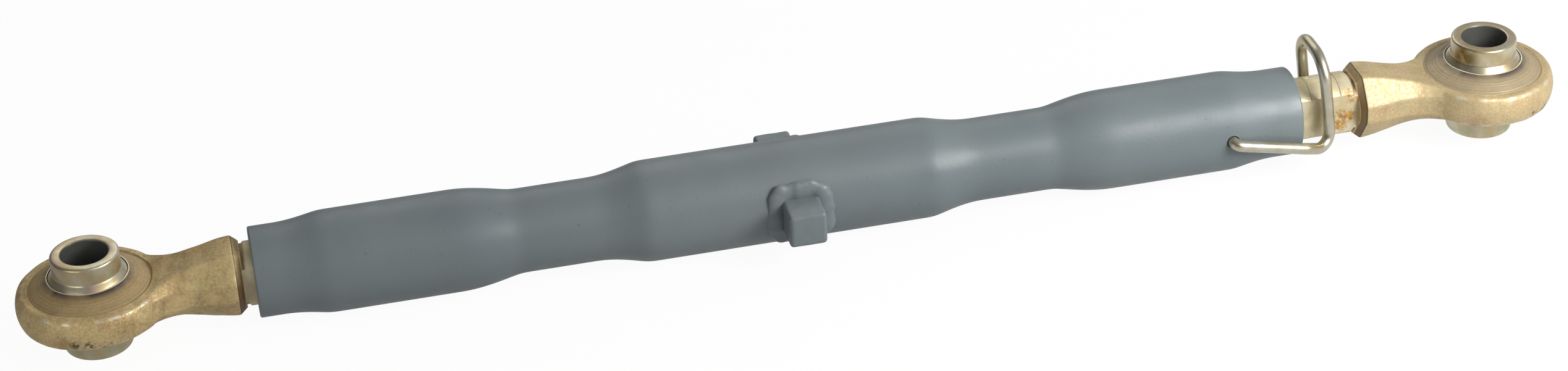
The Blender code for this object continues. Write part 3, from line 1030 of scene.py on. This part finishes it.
@dataclass
class TurningLugs:
    """Square bar stubs welded to the barrel, with the bead that runs round each foot."""

    layout: Layout
    finish: Finish
    edge_round: float = 1.6 * MM
    foot_depth: float = 3 * MM
    bead_width: float = 5.6 * MM
    bead_inset: float = 0.36
    bead_rounding: float = 0.6
    drop_size: float = 4.4 * MM
    drop_pace: float = 2.6 * MM
    least_drop: tuple[float, float, float] = (0.85, 0.42, 0.85)
    largest_drop: tuple[float, float, float] = (1.2, 0.62, 1.2)
    voxel: float = 0.45 * MM
    bar_rounds: int = 4
    bead_rounds: int = 16
    bar_waviness: float = 0.12 * MM
    bar_wave: float = 4 * MM
    seeds: dict[Side, int] = field(default_factory=lambda: {Side.FRONT: 7, Side.REAR: 19})

    def lug(self, side: Side) -> Piece:
        """Bar stub with worn edges and a sawn end, its faces a little wavy."""
        size = self.layout.lug_size
        foot = self.layout.barrel_radius - self.foot_depth
        ends = sorted((side.sign * foot, side.sign * size.y))
        low = Vector((-size.x / 2, ends[0], -size.z / 2))
        high = Vector((size.x / 2, ends[1], size.z / 2))
        lug = block(f"{side.value}_lug_bar", low, high)
        bevel = lug.modifiers.new("worn_edges", "BEVEL")
        bevel.width = self.edge_round
        bevel.segments = 5
        melt(lug, self.voxel, self.bar_rounds)
        roughen(lug, self.bar_waviness, self.bar_wave)
        crisp(lug, 50)
        return lug

    def bead_path(self, side: Side) -> list[Vector]:
        """Points round the lug's foot, on the surface of the tube."""
        size = self.layout.lug_size
        inset = self.bead_width * self.bead_inset
        half_x, half_z = size.x / 2 + inset, size.z / 2 + inset
        rounding = self.bead_width * self.bead_rounding
        points = []
        for quarter, (along, up) in enumerate(((1, 1), (-1, 1), (-1, -1), (1, -1))):
            centre = (along * (half_x - rounding), up * (half_z - rounding))
            start = quarter * math.pi / 2
            for x, z in arc(centre, rounding, start, start + math.pi / 2, 6):
                across = math.sqrt(self.layout.barrel_radius ** 2 - z * z)
                points.append(Vector((x, side.sign * across, z)))
        return points

    def ripple_tree(self) -> Tree:
        """Geometry nodes that lay overlapping drops of weld metal along a path."""
        numbers = {"Drop Size": self.drop_size, "Pace": self.drop_pace, "Seed": self.seeds[Side.FRONT]}
        tree, source = start_group("weld_ripples", numbers)
        path = add_node(tree, "GeometryNodeMeshToCurve", None, {"Mesh": source["Geometry"]})
        inputs = {"Curve": path.outputs["Curve"], "Length": source["Pace"]}
        spots = add_node(tree, "GeometryNodeCurveToPoints", {"mode": "LENGTH"}, inputs)
        drop = add_node(tree, "GeometryNodeMeshIcoSphere", None, {"Radius": 1.0, "Subdivisions": 3})
        settings = {"data_type": "FLOAT_VECTOR"}
        inputs = {0: self.least_drop, 1: self.largest_drop, "Seed": source["Seed"]}
        spread = add_node(tree, "FunctionNodeRandomValue", settings, inputs)
        inputs = {0: spread.outputs[0], "Scale": source["Drop Size"]}
        size = add_node(tree, "ShaderNodeVectorMath", {"operation": "SCALE"}, inputs)
        inputs = {
            "Points": spots.outputs["Points"],
            "Instance": drop.outputs["Mesh"],
            "Scale": size.outputs["Vector"],
        }
        drops = add_node(tree, "GeometryNodeInstanceOnPoints", None, inputs)
        end_group(tree, source, drops.outputs["Instances"])
        return tree

    def bead(self, side: Side, tree: Tree) -> Piece:
        """Lay the drops round a lug, then let them run together."""
        points = self.bead_path(side)
        edges = [(index, (index + 1) % len(points)) for index in range(len(points))]
        mesh = bpy.data.meshes.new("bead_path")
        mesh.from_pydata(points, edges, [])
        drops = linked(f"{side.value}_drops", mesh)
        grow(drops, tree, {"Seed": self.seeds[side], "Material": self.finish})
        bead = fuse(f"{side.value}_weld_bead", [drops], self.voxel, self.bead_rounds)
        bead.data.shade_smooth()
        return bead

    def build(self) -> None:
        """Make both lugs and both beads, and put them in place."""
        tree = self.ripple_tree()
        place = Matrix.Translation(self.layout.lug_centre)
        for side in (Side.FRONT, Side.REAR):
            for piece, node in ((self.lug(side), "lug"), (self.bead(side, tree), "weld")):
                seat(piece, self.finish, place, "barrel", "barrel_enamel", f"{side.value}_{node}")


@dataclass
class EyeRod:
    """One forging of eye, neck and shoulder, with its machined and threaded shank."""

    layout: Layout
    side: Side
    forging_finish: Finish
    shank_finish: Finish
    eye_radius: float = 31 * MM
    band_half_height: float = 7.2 * MM
    eye_edge_round: float = 2.6 * MM
    wall_bulge_radius: float = 14 * MM
    lip_half_height: float = 12 * MM
    lip_radius: float = 16.94 * MM
    face_radius: float = 25.5 * MM
    face_drop: float = 0.4 * MM
    allowance: float = 0.5 * MM
    race_radius: float = 20.35 * MM
    root: float = 19 * MM
    root_half_width: float = 23.5 * MM
    root_half_height: float = 6.8 * MM
    root_facet: Span = (3 * MM, 2.2 * MM)
    waist: float = 38 * MM
    waist_half_width: float = 13.3 * MM
    shoulder: float = 58.5 * MM
    shoulder_end: float = 61.7 * MM
    shoulder_ramp: float = 2.4 * MM
    shoulder_half_width: float = 15.6 * MM
    shoulder_half_height: float = 15.2 * MM
    shoulder_facet: Span = (8 * MM, 11.3 * MM)
    corner_round: float = 1.0 * MM
    neck_steps: int = 40
    overrun: float = 1 * MM
    die_round: Span = (0.3 * MM, 0.5 * MM)
    die_margin: float = 0.4 * MM
    tool_reach: float = 8 * MM
    race_overrun: float = 1.5 * MM
    flat_end_sink: float = 0.05 * MM
    shank_radius: float = 13.5 * MM
    shank_length: float = 200 * MM
    flat_half_width: float = 10 * MM
    flat_overrun: float = 0.5 * MM
    overlap: float = 5 * MM
    undercut_depth: float = 0.8 * MM
    undercut_width: float = 1.0 * MM
    scribed_rings: tuple[float, ...] = (7.4 * MM, 20.8 * MM)
    ring_depth: float = 0.35 * MM
    milled_edge: float = 0.3 * MM
    thread_start: float = 28 * MM
    thread_pitch: float = 3 * MM
    thread_depth: float = 1.6 * MM
    thread_sink: float = 0.03 * MM
    thread_grid: tuple[int, int] = (460, 73)
    flank_slope: float = 1.3
    crest_share: float = 0.15
    run_out_turns: float = 1.5
    tip_chamfer: float = 2 * MM
    voxel: float = 0.42 * MM
    rounds: int = 4
    waviness: float = 0.2 * MM
    wave: float = 7 * MM
    facets: int = 160

    def blank(self) -> Piece:
        """Turned blank of the eye, its wall a little bulged between rounded edges."""
        middle = self.eye_radius - self.wall_bulge_radius
        edge_height = self.band_half_height - self.eye_edge_round
        inset = self.wall_bulge_radius - self.eye_edge_round
        edge_offset = math.sqrt(inset ** 2 - edge_height ** 2)
        meeting = math.atan2(edge_offset, edge_height)
        edge = (edge_height, middle + edge_offset)
        half = [
            (self.lip_half_height, 0),
            (self.lip_half_height, self.lip_radius + self.allowance),
            (self.band_half_height, self.face_radius + self.allowance),
        ]
        half += arc(edge, self.eye_edge_round, 0, meeting, 10)
        half += arc((0, middle), self.wall_bulge_radius, meeting, math.pi / 2, 8)[1:-1]
        return revolve("eye_blank", mirrored(half), self.facets, Axis.UP)

    def neck_section(self, distance: float) -> list[Vector]:
        """Octagon with rounded corners across the neck, at a distance from the ball's centre."""
        span = min((distance - self.root) / (self.shoulder - self.root), 1.0)
        rise = (span + ease(span)) / 2
        if distance < self.waist:
            left = 1 - (distance - self.root) / (self.waist - self.root)
            width = way(self.waist_half_width, self.root_half_width, left ** 2)
        else:
            swell = ease((distance - self.waist) / (self.shoulder - self.waist))
            width = way(self.waist_half_width, self.shoulder_half_width, swell)
        height = way(self.root_half_height, self.shoulder_half_height, rise)
        past = max(distance - self.shoulder, 0) / (self.shoulder_end - self.shoulder)
        ramp = self.shoulder_ramp * past
        width -= ramp
        height -= ramp
        pairs = zip(self.root_facet, self.shoulder_facet)
        facet_width, facet_drop = (way(start, end, rise) - ramp / 2 for start, end in pairs)
        side, top = height - facet_drop, width - facet_width
        corners = [(width, -side), (width, side), (top, height), (-top, height)]
        corners += [(-across, -up) for across, up in corners]
        section = []
        for index, corner in enumerate(corners):
            here = Vector(corner)
            before = here + (Vector(corners[index - 1]) - here).normalized() * self.corner_round
            after = here + (Vector(corners[(index + 1) % 8]) - here).normalized() * self.corner_round
            for share in (0, 0.25, 0.5, 0.75, 1):
                point = before * (1 - share) ** 2 + here * 2 * share * (1 - share) + after * share ** 2
                section.append(Vector((-distance, point.x, point.y)))
        return section

    def neck(self) -> Piece:
        """Neck that flows out of the eye and runs a little past its shoulder."""
        steps = self.neck_steps
        distances = [way(self.root, self.shoulder, step / steps) for step in range(steps + 1)]
        distances.append(self.shoulder_end + self.overrun)
        return skin("neck", [self.neck_section(distance) for distance in distances])

    def die(self, side: int) -> Piece:
        """Ring that coins the sloping face of the eye."""
        foot = self.band_half_height - self.face_drop
        slope = (self.lip_half_height - foot) / (self.face_radius - self.lip_radius)
        inner = self.lip_radius - self.allowance
        top = self.lip_half_height + self.tool_reach
        outer = self.face_radius + self.die_margin
        points = [
            (self.lip_half_height + slope * self.allowance, inner),
            (foot, self.face_radius - self.die_round[0]),
            (foot + self.die_round[1], outer),
            (top, outer),
            (top, inner),
        ]
        outline = [(side * along, radius) for along, radius in points]
        return revolve("die", outline, self.facets, Axis.UP, hollow=True)

    def race(self) -> Piece:
        """Slice of a sphere that cuts the race."""
        reach = self.lip_half_height + self.race_overrun
        limit = math.asin(reach / self.race_radius)
        wall = [(-across, along) for along, across in arc((0, 0), self.race_radius, limit, -limit, 32)]
        return revolve("race", [(-reach, 0)] + wall + [(reach, 0)], self.facets, Axis.UP)

    def shoulder_cutters(self) -> list[Piece]:
        """Facing cut that ends the ramp of the shoulder, and the ends of the two flats in it."""
        reach = self.shoulder_half_width * 1.5
        near, far = -self.shoulder_end, -self.shoulder_end - self.tool_reach
        facing = block("facing_cut", Vector((far, -reach, -reach)), Vector((near, reach, reach)))
        inner = self.flat_half_width - self.flat_end_sink
        return [facing] + self.side_blocks("flat_end_cut", far, near + self.flat_overrun, inner, reach)

    def forging(self) -> Piece:
        """Forge the eye and neck in one, then coin, bore and face them."""
        parts = [self.blank(), self.neck()]
        forging = fuse(f"{self.side.value}_forging", parts, self.voxel, self.rounds)
        roughen(forging, self.waviness, self.wave)
        cut(forging, [self.die(1), self.die(-1), self.race()] + self.shoulder_cutters())
        crisp(forging, 32)
        return forging

    def side_blocks(
        self, name: str, far: float, near: float, inner: float, reach: float
    ) -> list[Piece]:
        """Cutters on both sides of the rod, which leave its middle.

        Args:
            name: Name of the cutters.
            far: End of them away from the eye.
            near: End of them towards the eye.
            inner: Half of the width that they leave.
            reach: Half of the width and height that they take.

        Returns:
            The two cutters.
        """
        blocks = []
        for sign in (-1, 1):
            low, high = sorted((sign * inner, sign * reach))
            blocks.append(block(name, Vector((far, low, -reach)), Vector((near, high, reach))))
        return blocks

    def flats(self) -> list[Piece]:
        """Two milling cuts that leave a flat on each side of the plain shank."""
        near = -self.shoulder_end + 2 * self.flat_overrun
        far = -(self.shoulder_end + self.shank_length)
        return self.side_blocks("flat_cut", far, near, self.flat_half_width, self.shank_radius * 1.2)

    def plain_shank(self) -> Piece:
        """Plain part of the shank: undercut, two scribed rings and the flats."""
        radius, depth = self.shank_radius, self.undercut_depth
        wall_end = self.shoulder_end + self.undercut_width
        start = self.shoulder_end - self.overlap
        points = [(start, 0), (start, radius - depth)]
        points += [(wall_end, radius - depth), (wall_end + depth, radius)]
        for ring in self.scribed_rings:
            along, nick = self.shoulder_end + ring, self.ring_depth
            points += [(along - nick, radius), (along, radius - nick), (along + nick, radius)]
        end = self.shoulder_end + self.thread_start + self.overrun
        points += [(end, radius), (end, 0)]
        outline = [(-along, radius) for along, radius in points]
        shank = revolve(f"{self.side.value}_plain_shank", outline, self.facets, Axis.ALONG)
        cut(shank, self.flats())
        edge = shank.modifiers.new("edge", "BEVEL")
        edge.width = self.milled_edge
        edge.segments = 3
        edge.angle_limit = math.radians(40)
        settle(shank)
        crisp(shank)
        return shank

    def thread_tree(self) -> Tree:
        """Geometry nodes that wrap a grid into a shank with a helical thread and two flats."""
        sizes = {
            "Length": self.shank_length - self.thread_start,
            "Radius": self.shank_radius - self.thread_sink,
            "Pitch": self.thread_pitch,
            "Depth": self.thread_depth,
            "Hand": 1.0,
            "Flat": self.flat_half_width - self.thread_sink,
            "Chamfer": self.tip_chamfer,
        }
        tree, source = start_group("screw_thread", sizes)
        step = partial(maths, tree)
        rows, columns = self.thread_grid
        pace = step("DIVIDE", source["Length"], float(rows - 3))
        inputs = {
            "Size X": step("MULTIPLY", pace, float(rows - 1)),
            "Size Y": math.tau,
            "Vertices X": rows,
            "Vertices Y": columns,
        }
        grid = add_node(tree, "GeometryNodeMeshGrid", None, inputs)
        parts = split(tree, add_node(tree, "GeometryNodeInputPosition").outputs["Position"])
        raw = step("ADD", parts["X"], step("MULTIPLY", source["Length"], 0.5))
        along = step("MINIMUM", step("MAXIMUM", raw, 0.0), source["Length"])
        beyond = step("DIVIDE", step("ABSOLUTE", step("SUBTRACT", raw, along)), pace)
        open_share = step("SUBTRACT", 1.0, step("MINIMUM", beyond, 1.0))
        turn = parts["Y"]
        lead = step("MULTIPLY", step("DIVIDE", turn, math.tau), source["Hand"])
        phase = step("SUBTRACT", step("DIVIDE", along, source["Pitch"]), lead)
        wave = step("ABSOLUTE", step("SUBTRACT", step("MULTIPLY", step("FRACT", phase), 2.0), 1.0))
        flank = step("SUBTRACT", step("MULTIPLY", wave, self.flank_slope), self.crest_share)
        flat_crest = step("MINIMUM", step("MAXIMUM", flank, 0.0), 1.0)
        fade = step("MULTIPLY", source["Pitch"], self.run_out_turns)
        run_out = step("MINIMUM", step("DIVIDE", along, fade), 1.0)
        groove = step("MULTIPLY", step("MULTIPLY", flat_crest, source["Depth"]), run_out)
        left = step("SUBTRACT", source["Length"], along)
        tip = step("MAXIMUM", step("SUBTRACT", source["Chamfer"], left), 0.0)
        most = step("SUBTRACT", source["Radius"], tip)
        radius = step("MINIMUM", step("SUBTRACT", source["Radius"], groove), most)
        radius = step("MULTIPLY", radius, open_share)
        across = step("MINIMUM", step("MULTIPLY", radius, step("COSINE", turn)), source["Flat"])
        across = step("MAXIMUM", across, step("MULTIPLY", source["Flat"], -1.0))
        up = step("MULTIPLY", radius, step("SINE", turn))
        inputs = {"X": step("MULTIPLY", along, -1.0), "Y": across, "Z": up}
        place = add_node(tree, "ShaderNodeCombineXYZ", None, inputs)
        inputs = {"Geometry": grid.outputs["Mesh"], "Position": place.outputs["Vector"]}
        wrapped = add_node(tree, "GeometryNodeSetPosition", None, inputs)
        inputs = {"Geometry": wrapped.outputs["Geometry"], "Distance": 0.001 * MM}
        closed = add_node(tree, "GeometryNodeMergeByDistance", None, inputs)
        end_group(tree, source, closed.outputs["Geometry"])
        return tree

    def thread(self) -> Piece:
        """Threaded part of the shank, of the hand that its end of the barrel needs."""
        piece = linked(f"{self.side.value}_thread", bpy.data.meshes.new("thread"))
        grow(piece, self.thread_tree(), {"Hand": float(self.side.sign), "Material": self.shank_finish})
        shape = bmesh.new()
        shape.from_mesh(piece.data)
        bmesh.ops.recalc_face_normals(shape, faces=shape.faces)
        shape.to_mesh(piece.data)
        shape.free()
        piece.data.transform(Matrix.Translation((-self.shoulder_end - self.thread_start, 0, 0)))
        crisp(piece, 50)
        return piece

    def build(self) -> None:
        """Make the rod's pieces and put them in place."""
        turn = Matrix.Rotation(math.pi if self.side is Side.LEFT else 0.0, 4, "Z")
        place = Matrix.Translation(self.layout.balls[self.side]) @ turn
        body, node = f"{self.side.value}_rod", f"{self.side.value}_eye_rod"
        pieces = (
            (self.forging(), self.forging_finish),
            (self.plain_shank(), self.shank_finish),
            (self.thread(), self.shank_finish),
        )
        for piece, finish in pieces:
            seat(piece, finish, place, body, "forging_zinc", node)


@dataclass
class PiercedBall:
    """Ball with a collar on each side and a bore for the hitch pin."""

    layout: Layout
    side: Side
    finish: Finish
    radius: float = 20 * MM
    bore_radius: float = 9.65 * MM
    collar_radius: float = 14.1 * MM
    rim_round: float = 1.2 * MM
    mouth_round: float = 0.9 * MM
    root_round: float = 1.2 * MM
    facets: int = 144

    def build(self) -> None:
        """Turn the ball and put it in place."""
        half = self.layout.ball_width / 2
        mouth = (half - self.mouth_round, self.bore_radius + self.mouth_round)
        rim = (half - self.rim_round, self.collar_radius - self.rim_round)
        upper = arc(mouth, self.mouth_round, -math.pi / 2, 0, 5)
        upper += arc(rim, self.rim_round, 0, math.pi / 2, 6)
        root_radius = self.collar_radius + self.root_round
        root_height = math.sqrt((self.radius + self.root_round) ** 2 - root_radius ** 2)
        belt = math.atan2(root_height, root_radius)
        upper += arc((root_height, root_radius), self.root_round, -math.pi / 2, belt - math.pi, 5)[:-1]
        steps = 40
        ball = [belt - 2 * belt * step / steps for step in range(steps + 1)]
        outline = list(upper)
        outline += [(self.radius * math.sin(turn), self.radius * math.cos(turn)) for turn in ball]
        outline += [(-along, radius) for along, radius in reversed(upper)]
        piece = revolve(f"{self.side.value}_pierced_ball", outline, self.facets, Axis.UP, hollow=True)
        crisp(piece, 40)
        node = f"{self.side.value}_ball"
        place = Matrix.Translation(self.layout.balls[self.side])
        seat(piece, self.finish, place, node, "ball_zinc", node)


@dataclass
class WireBail:
    """Sprung wire bail, bent up from one length of wire."""

    layout: Layout
    finish: Finish
    wire_radius: float = 2.5 * MM
    hook_side: float = 17 * MM
    arm_side: float = 24.8 * MM
    knee: Vector = field(default_factory=lambda: Vector((33.5, 22.2, -8.7)) * MM)
    corner: Vector = field(default_factory=lambda: Vector((47, 15, -15)) * MM)
    bridge: Vector = field(default_factory=lambda: Vector((42.3, 15, 28.7)) * MM)
    bends: tuple[float, ...] = (3 * MM, 8 * MM, 6 * MM, 12 * MM)
    sides: int = 28
    bend_steps: int = 14
    end_round: float = 0.5 * MM

    def path(self) -> list[Vector]:
        """Centre line of the wire, its bends round."""
        half = [Vector((0, self.hook_side, 0)), Vector((0, self.arm_side, 0))]
        half += [self.knee, self.corner, self.bridge]
        corners = half + [Vector((point.x, -point.y, point.z)) for point in reversed(half)]
        bends = self.bends + self.bends[::-1]
        points = [corners[0]]
        for before, here, after, radius in zip(corners, corners[1:], corners[2:], bends):
            back, ahead = (before - here).normalized(), (after - here).normalized()
            half_angle = back.angle(ahead) / 2
            reach = radius / math.tan(half_angle)
            centre = here + (back + ahead).normalized() * radius / math.sin(half_angle)
            start, end = here + back * reach - centre, here + ahead * reach - centre
            for step in range(self.bend_steps + 1):
                points.append(centre + start.slerp(end, step / self.bend_steps) * radius)
        points.append(corners[-1])
        return points

    def build(self) -> None:
        """Sweep the wire and put the bail in place."""
        points = self.path()
        tangents = []
        for index in range(len(points)):
            before, after = points[max(index - 1, 0)], points[min(index + 1, len(points) - 1)]
            tangents.append((after - before).normalized())
        across = tangents[0].orthogonal().normalized()
        sections = []
        for index, (point, tangent) in enumerate(zip(points, tangents)):
            across = (across - tangent * across.dot(tangent)).normalized()
            other = tangent.cross(across)
            rows = [(point, self.wire_radius)]
            if index == 0:
                rows = [(point, self.wire_radius - self.end_round)]
                rows.append((point + tangent * self.end_round, self.wire_radius))
            if index == len(points) - 1:
                rows = [(point - tangent * self.end_round, self.wire_radius)]
                rows.append((point, self.wire_radius - self.end_round))
            for middle, radius in rows:
                section = []
                for step in range(self.sides):
                    turn = math.tau * step / self.sides
                    out = across * math.cos(turn) + other * math.sin(turn)
                    section.append(middle + out * radius)
                sections.append(section)
        bail = skin("wire_bail", sections)
        crisp(bail, 40)
        place = Matrix.Translation(self.layout.bail_pivot)
        seat(bail, self.finish, place, "bail", "wire_zinc", "lock_bail")


@dataclass(frozen=True)
class PhotoCamera:
    """Camera where the photograph was taken from."""

    place: Vector = field(default_factory=lambda: Vector((-250.91, -1196.19, 758.68)) * MM)
    yaw: float = math.radians(11.309)
    pitch: float = math.radians(31.067)
    roll: float = math.radians(3.006)
    focal_pixels: float = 5447.5
    photo_width: float = 2538.0
    sensor_width: float = 36.0
    sight: Span = (0.05, 50.0)

    def build(self) -> None:
        """Add the camera and make it the scene's."""
        data = bpy.data.cameras.new("photo_camera")
        data.sensor_fit = "HORIZONTAL"
        data.sensor_width = self.sensor_width
        data.lens = self.focal_pixels * self.sensor_width / self.photo_width
        data.clip_start, data.clip_end = self.sight
        camera = linked("photo_camera", data)
        upright = Matrix(((1, 0, 0), (0, 0, 1), (0, -1, 0)))
        turn = Matrix.Rotation(self.yaw, 3, "Z")
        tip = Matrix.Rotation(self.pitch, 3, "X")
        roll = Matrix.Rotation(self.roll, 3, "Z")
        to_camera = roll @ tip @ upright @ turn
        camera.matrix_world = Matrix.Translation(self.place) @ to_camera.transposed().to_4x4()
        bpy.context.scene.camera = camera


@dataclass(frozen=True)
class Studio:
    """White floor, soft lamps and a pale room."""

    floor_colour: str = "#cccccc"
    floor_glow: float = 0.9
    floor_white: float = 1.05
    glow_ends: Span = (0.25, 0.9)
    glow_reach: Span = (-0.5, 0.5)
    floor_size: float = 30.0
    room_top: float = 0.36
    room_low: float = 0.24
    room_heights: Span = (-0.1, 0.9)
    room_sides: Span = (0.25, 1.55)
    room_reach: Span = (-0.9, 0.9)
    key_power: float = 4.3
    front_power: float = 2.1
    rear_power: float = 2.8
    left_power: float = 0.15

    def floor(self) -> None:
        """Floor that looks white to the camera and in gloss, and keeps a faint shadow."""
        shape = bmesh.new()
        bmesh.ops.create_grid(shape, x_segments=1, y_segments=1, size=self.floor_size / 2)
        floor = add_object("studio_floor", shape)
        material = bpy.data.materials.new("white_floor")
        material.use_nodes = True
        tree = material.node_tree
        tree.nodes.clear()
        parts = split(tree, add_node(tree, "ShaderNodeTexCoord").outputs["Object"])
        falloff = remap(tree, parts["X"], self.glow_reach, self.glow_ends)
        matt = add_node(tree, "ShaderNodeBsdfDiffuse", None, {"Color": linear(self.floor_colour)})
        path = add_node(tree, "ShaderNodeLightPath").outputs
        glow = mixed(tree, path["Is Camera Ray"], falloff, self.floor_white)
        white = add_node(tree, "ShaderNodeEmission", None, {"Color": WHITE, "Strength": glow})
        seen = maths(tree, "ADD", path["Is Camera Ray"], path["Is Glossy Ray"])
        seen = maths(tree, "ADD", seen, path["Is Transmission Ray"])
        share = times(tree, maths(tree, "MINIMUM", seen, 1.0), self.floor_glow)
        inputs = {0: share, 1: matt.outputs[0], 2: white.outputs[0]}
        mix = add_node(tree, "ShaderNodeMixShader", None, inputs)
        add_node(tree, "ShaderNodeOutputMaterial", None, {"Surface": mix.outputs[0]})
        paint(floor, material)

    def room(self) -> None:
        """World that is white to the camera and a soft gradient to everything else."""
        world = bpy.data.worlds.new("pale_room")
        bpy.context.scene.world = world
        world.use_nodes = True
        tree = world.node_tree
        tree.nodes.clear()
        parts = split(tree, add_node(tree, "ShaderNodeTexCoord").outputs["Generated"])
        height = remap(tree, parts["Z"], self.room_heights, (self.room_low, self.room_top))
        sideways = remap(tree, parts["X"], self.room_reach, self.room_sides)
        path = add_node(tree, "ShaderNodeLightPath").outputs
        strength = mixed(tree, path["Is Camera Ray"], times(tree, height, sideways), 1.0)
        light = add_node(tree, "ShaderNodeBackground", None, {"Color": WHITE, "Strength": strength})
        add_node(tree, "ShaderNodeOutputWorld", None, {"Surface": light.outputs[0]})

    def lamp(self, name: str, place: Vector, size: float, power: float, target: Vector) -> None:
        """Add a square soft lamp that faces a point.

        Args:
            name: Name of the lamp.
            place: Where it hangs.
            size: Length of its side.
            power: Power in watts.
            target: Point that it faces.
        """
        data = bpy.data.lights.new(name, "AREA")
        data.shape = "SQUARE"
        data.size = size
        data.energy = power
        lamp = linked(name, data)
        lamp.rotation_euler = (target - place).to_track_quat("-Z", "Y").to_euler()
        lamp.location = place
        lamp.visible_camera = False

    def build(self) -> None:
        """Set up the floor, the room and the lamps."""
        self.floor()
        self.room()
        for name, place, size, power, target in (
            ("key_lamp", (0.5, -0.42, 0.4), 0.3, self.key_power, (0.15, 0, 0.02)),
            ("front_lamp", (0.55, -1.15, 0.95), 1.0, self.front_power, (0.1, 0, 0)),
            ("left_lamp", (-0.48, -0.2, 0.1), 0.2, self.left_power, (-0.31, 0, 0.02)),
            ("rear_lamp", (0.1, 1.1, 0.9), 1.0, self.rear_power, (0.05, 0, 0)),
        ):
            self.lamp(name, Vector(place), size, power, Vector(target))
        bpy.context.scene.view_settings.view_transform = "Standard"


class TopLink:
    """The whole link: its finishes and its sub-assemblies."""

    reflection_place = Vector((-12, -7.4, 17)) * MM

    def __init__(self, frame: dict[str, Any]) -> None:
        """Read the layout and mix the finishes.
        """
        self.frame = frame
        self.layout = Layout.read(frame)
        self.enamel = SlateEnamel().make()
        self.wire = DrawnWireZinc().make()
        self.bush_steel = OiledBushSteel().make()

    def rods(self) -> None:
        """Build both eye rods and their balls."""
        for side in (Side.LEFT, Side.RIGHT):
            centre = self.layout.balls[side]
            tones = self.worn_and_lightened_tones() if side is Side.LEFT else {}
            tones["scuffs"] = self.scuff_places(side)
            forging = YellowZincForging(f"{side.value}_forging_zinc", centre, **tones).make()
            stains = self.rust_places(centre) if side is Side.RIGHT else ()
            shank = RustedShank(f"{side.value}_shank_zinc", centre, stains=stains).make()
            # The right ball gets a painted dark reflection on its collar.
            painted_reflections = (self.reflection_place,) if side is Side.RIGHT else ()
            ball = TurnedZinc(f"{side.value}_ball_zinc", centre, painted_reflections=painted_reflections).make()
            EyeRod(self.layout, side, forging, shank).build()
            PiercedBall(self.layout, side, ball).build()

    def worn_and_lightened_tones(self) -> dict[str, Any]:
        """Browner and dirtier tones for the left eye rod, which has been handled more; its gold and
        pale tones are also painted lighter to make up for the dimmer light at the left end.
        """
        return {
            "gold": "#d8bc84",
            "pale": "#eadbab",
            "brown": "#ad8c57",
            "pink": "#ca9f73",
            "green": "#bdb37d",
            "recess": "#b59c70",
            "ring_tint": "#836d4c",
            "shadow": "#4c4440",
            "dirt_share": 0.35,
        }

    def scuff_places(self, side: Side) -> tuple[Vector, ...]:
        """Knocks low on the wall of an eye, from the centre of its ball."""
        spots = ((-8, -29.4, -3.6), (-3, -30.4, -4.2), (4, -30, -5.4))
        if side is Side.RIGHT:
            spots = ((13, -28.4, -5), (20, -24, -5.2))
        return tuple(Vector(spot) * MM for spot in spots)

    def rust_places(self, centre: Vector) -> tuple[Vector, ...]:
        """Spots on the front flat of the right shank where rust breaks through."""
        spots = ((65.6, -1.5), (69.4, -1.0), (69.0, -5.5), (64.2, 8.4))
        return tuple(centre + Vector((-along, -10, up)) * MM for along, up in spots)

    def bushes(self) -> None:
        """Dress the two bushes, which stay as the solids that they are."""
        for side in (Side.LEFT, Side.RIGHT):
            paint(self.frame["nodes"][f"{side.value}_thread_bush"], self.bush_steel)

    def build(self) -> None:
        """Build every sub-assembly in order."""
        Barrel(self.layout, self.enamel).build()
        TurningLugs(self.layout, self.enamel).build()
        self.rods()
        self.bushes()
        WireBail(self.layout, self.wire).build()


def main() -> None:
    """Load the frame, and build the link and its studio."""
    logging.basicConfig(level=logging.INFO, format="%(name)s %(message)s")
    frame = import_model()
    TopLink(frame).build()
    Studio().build()
    PhotoCamera().build()


if __name__ == "__main__":
    main()
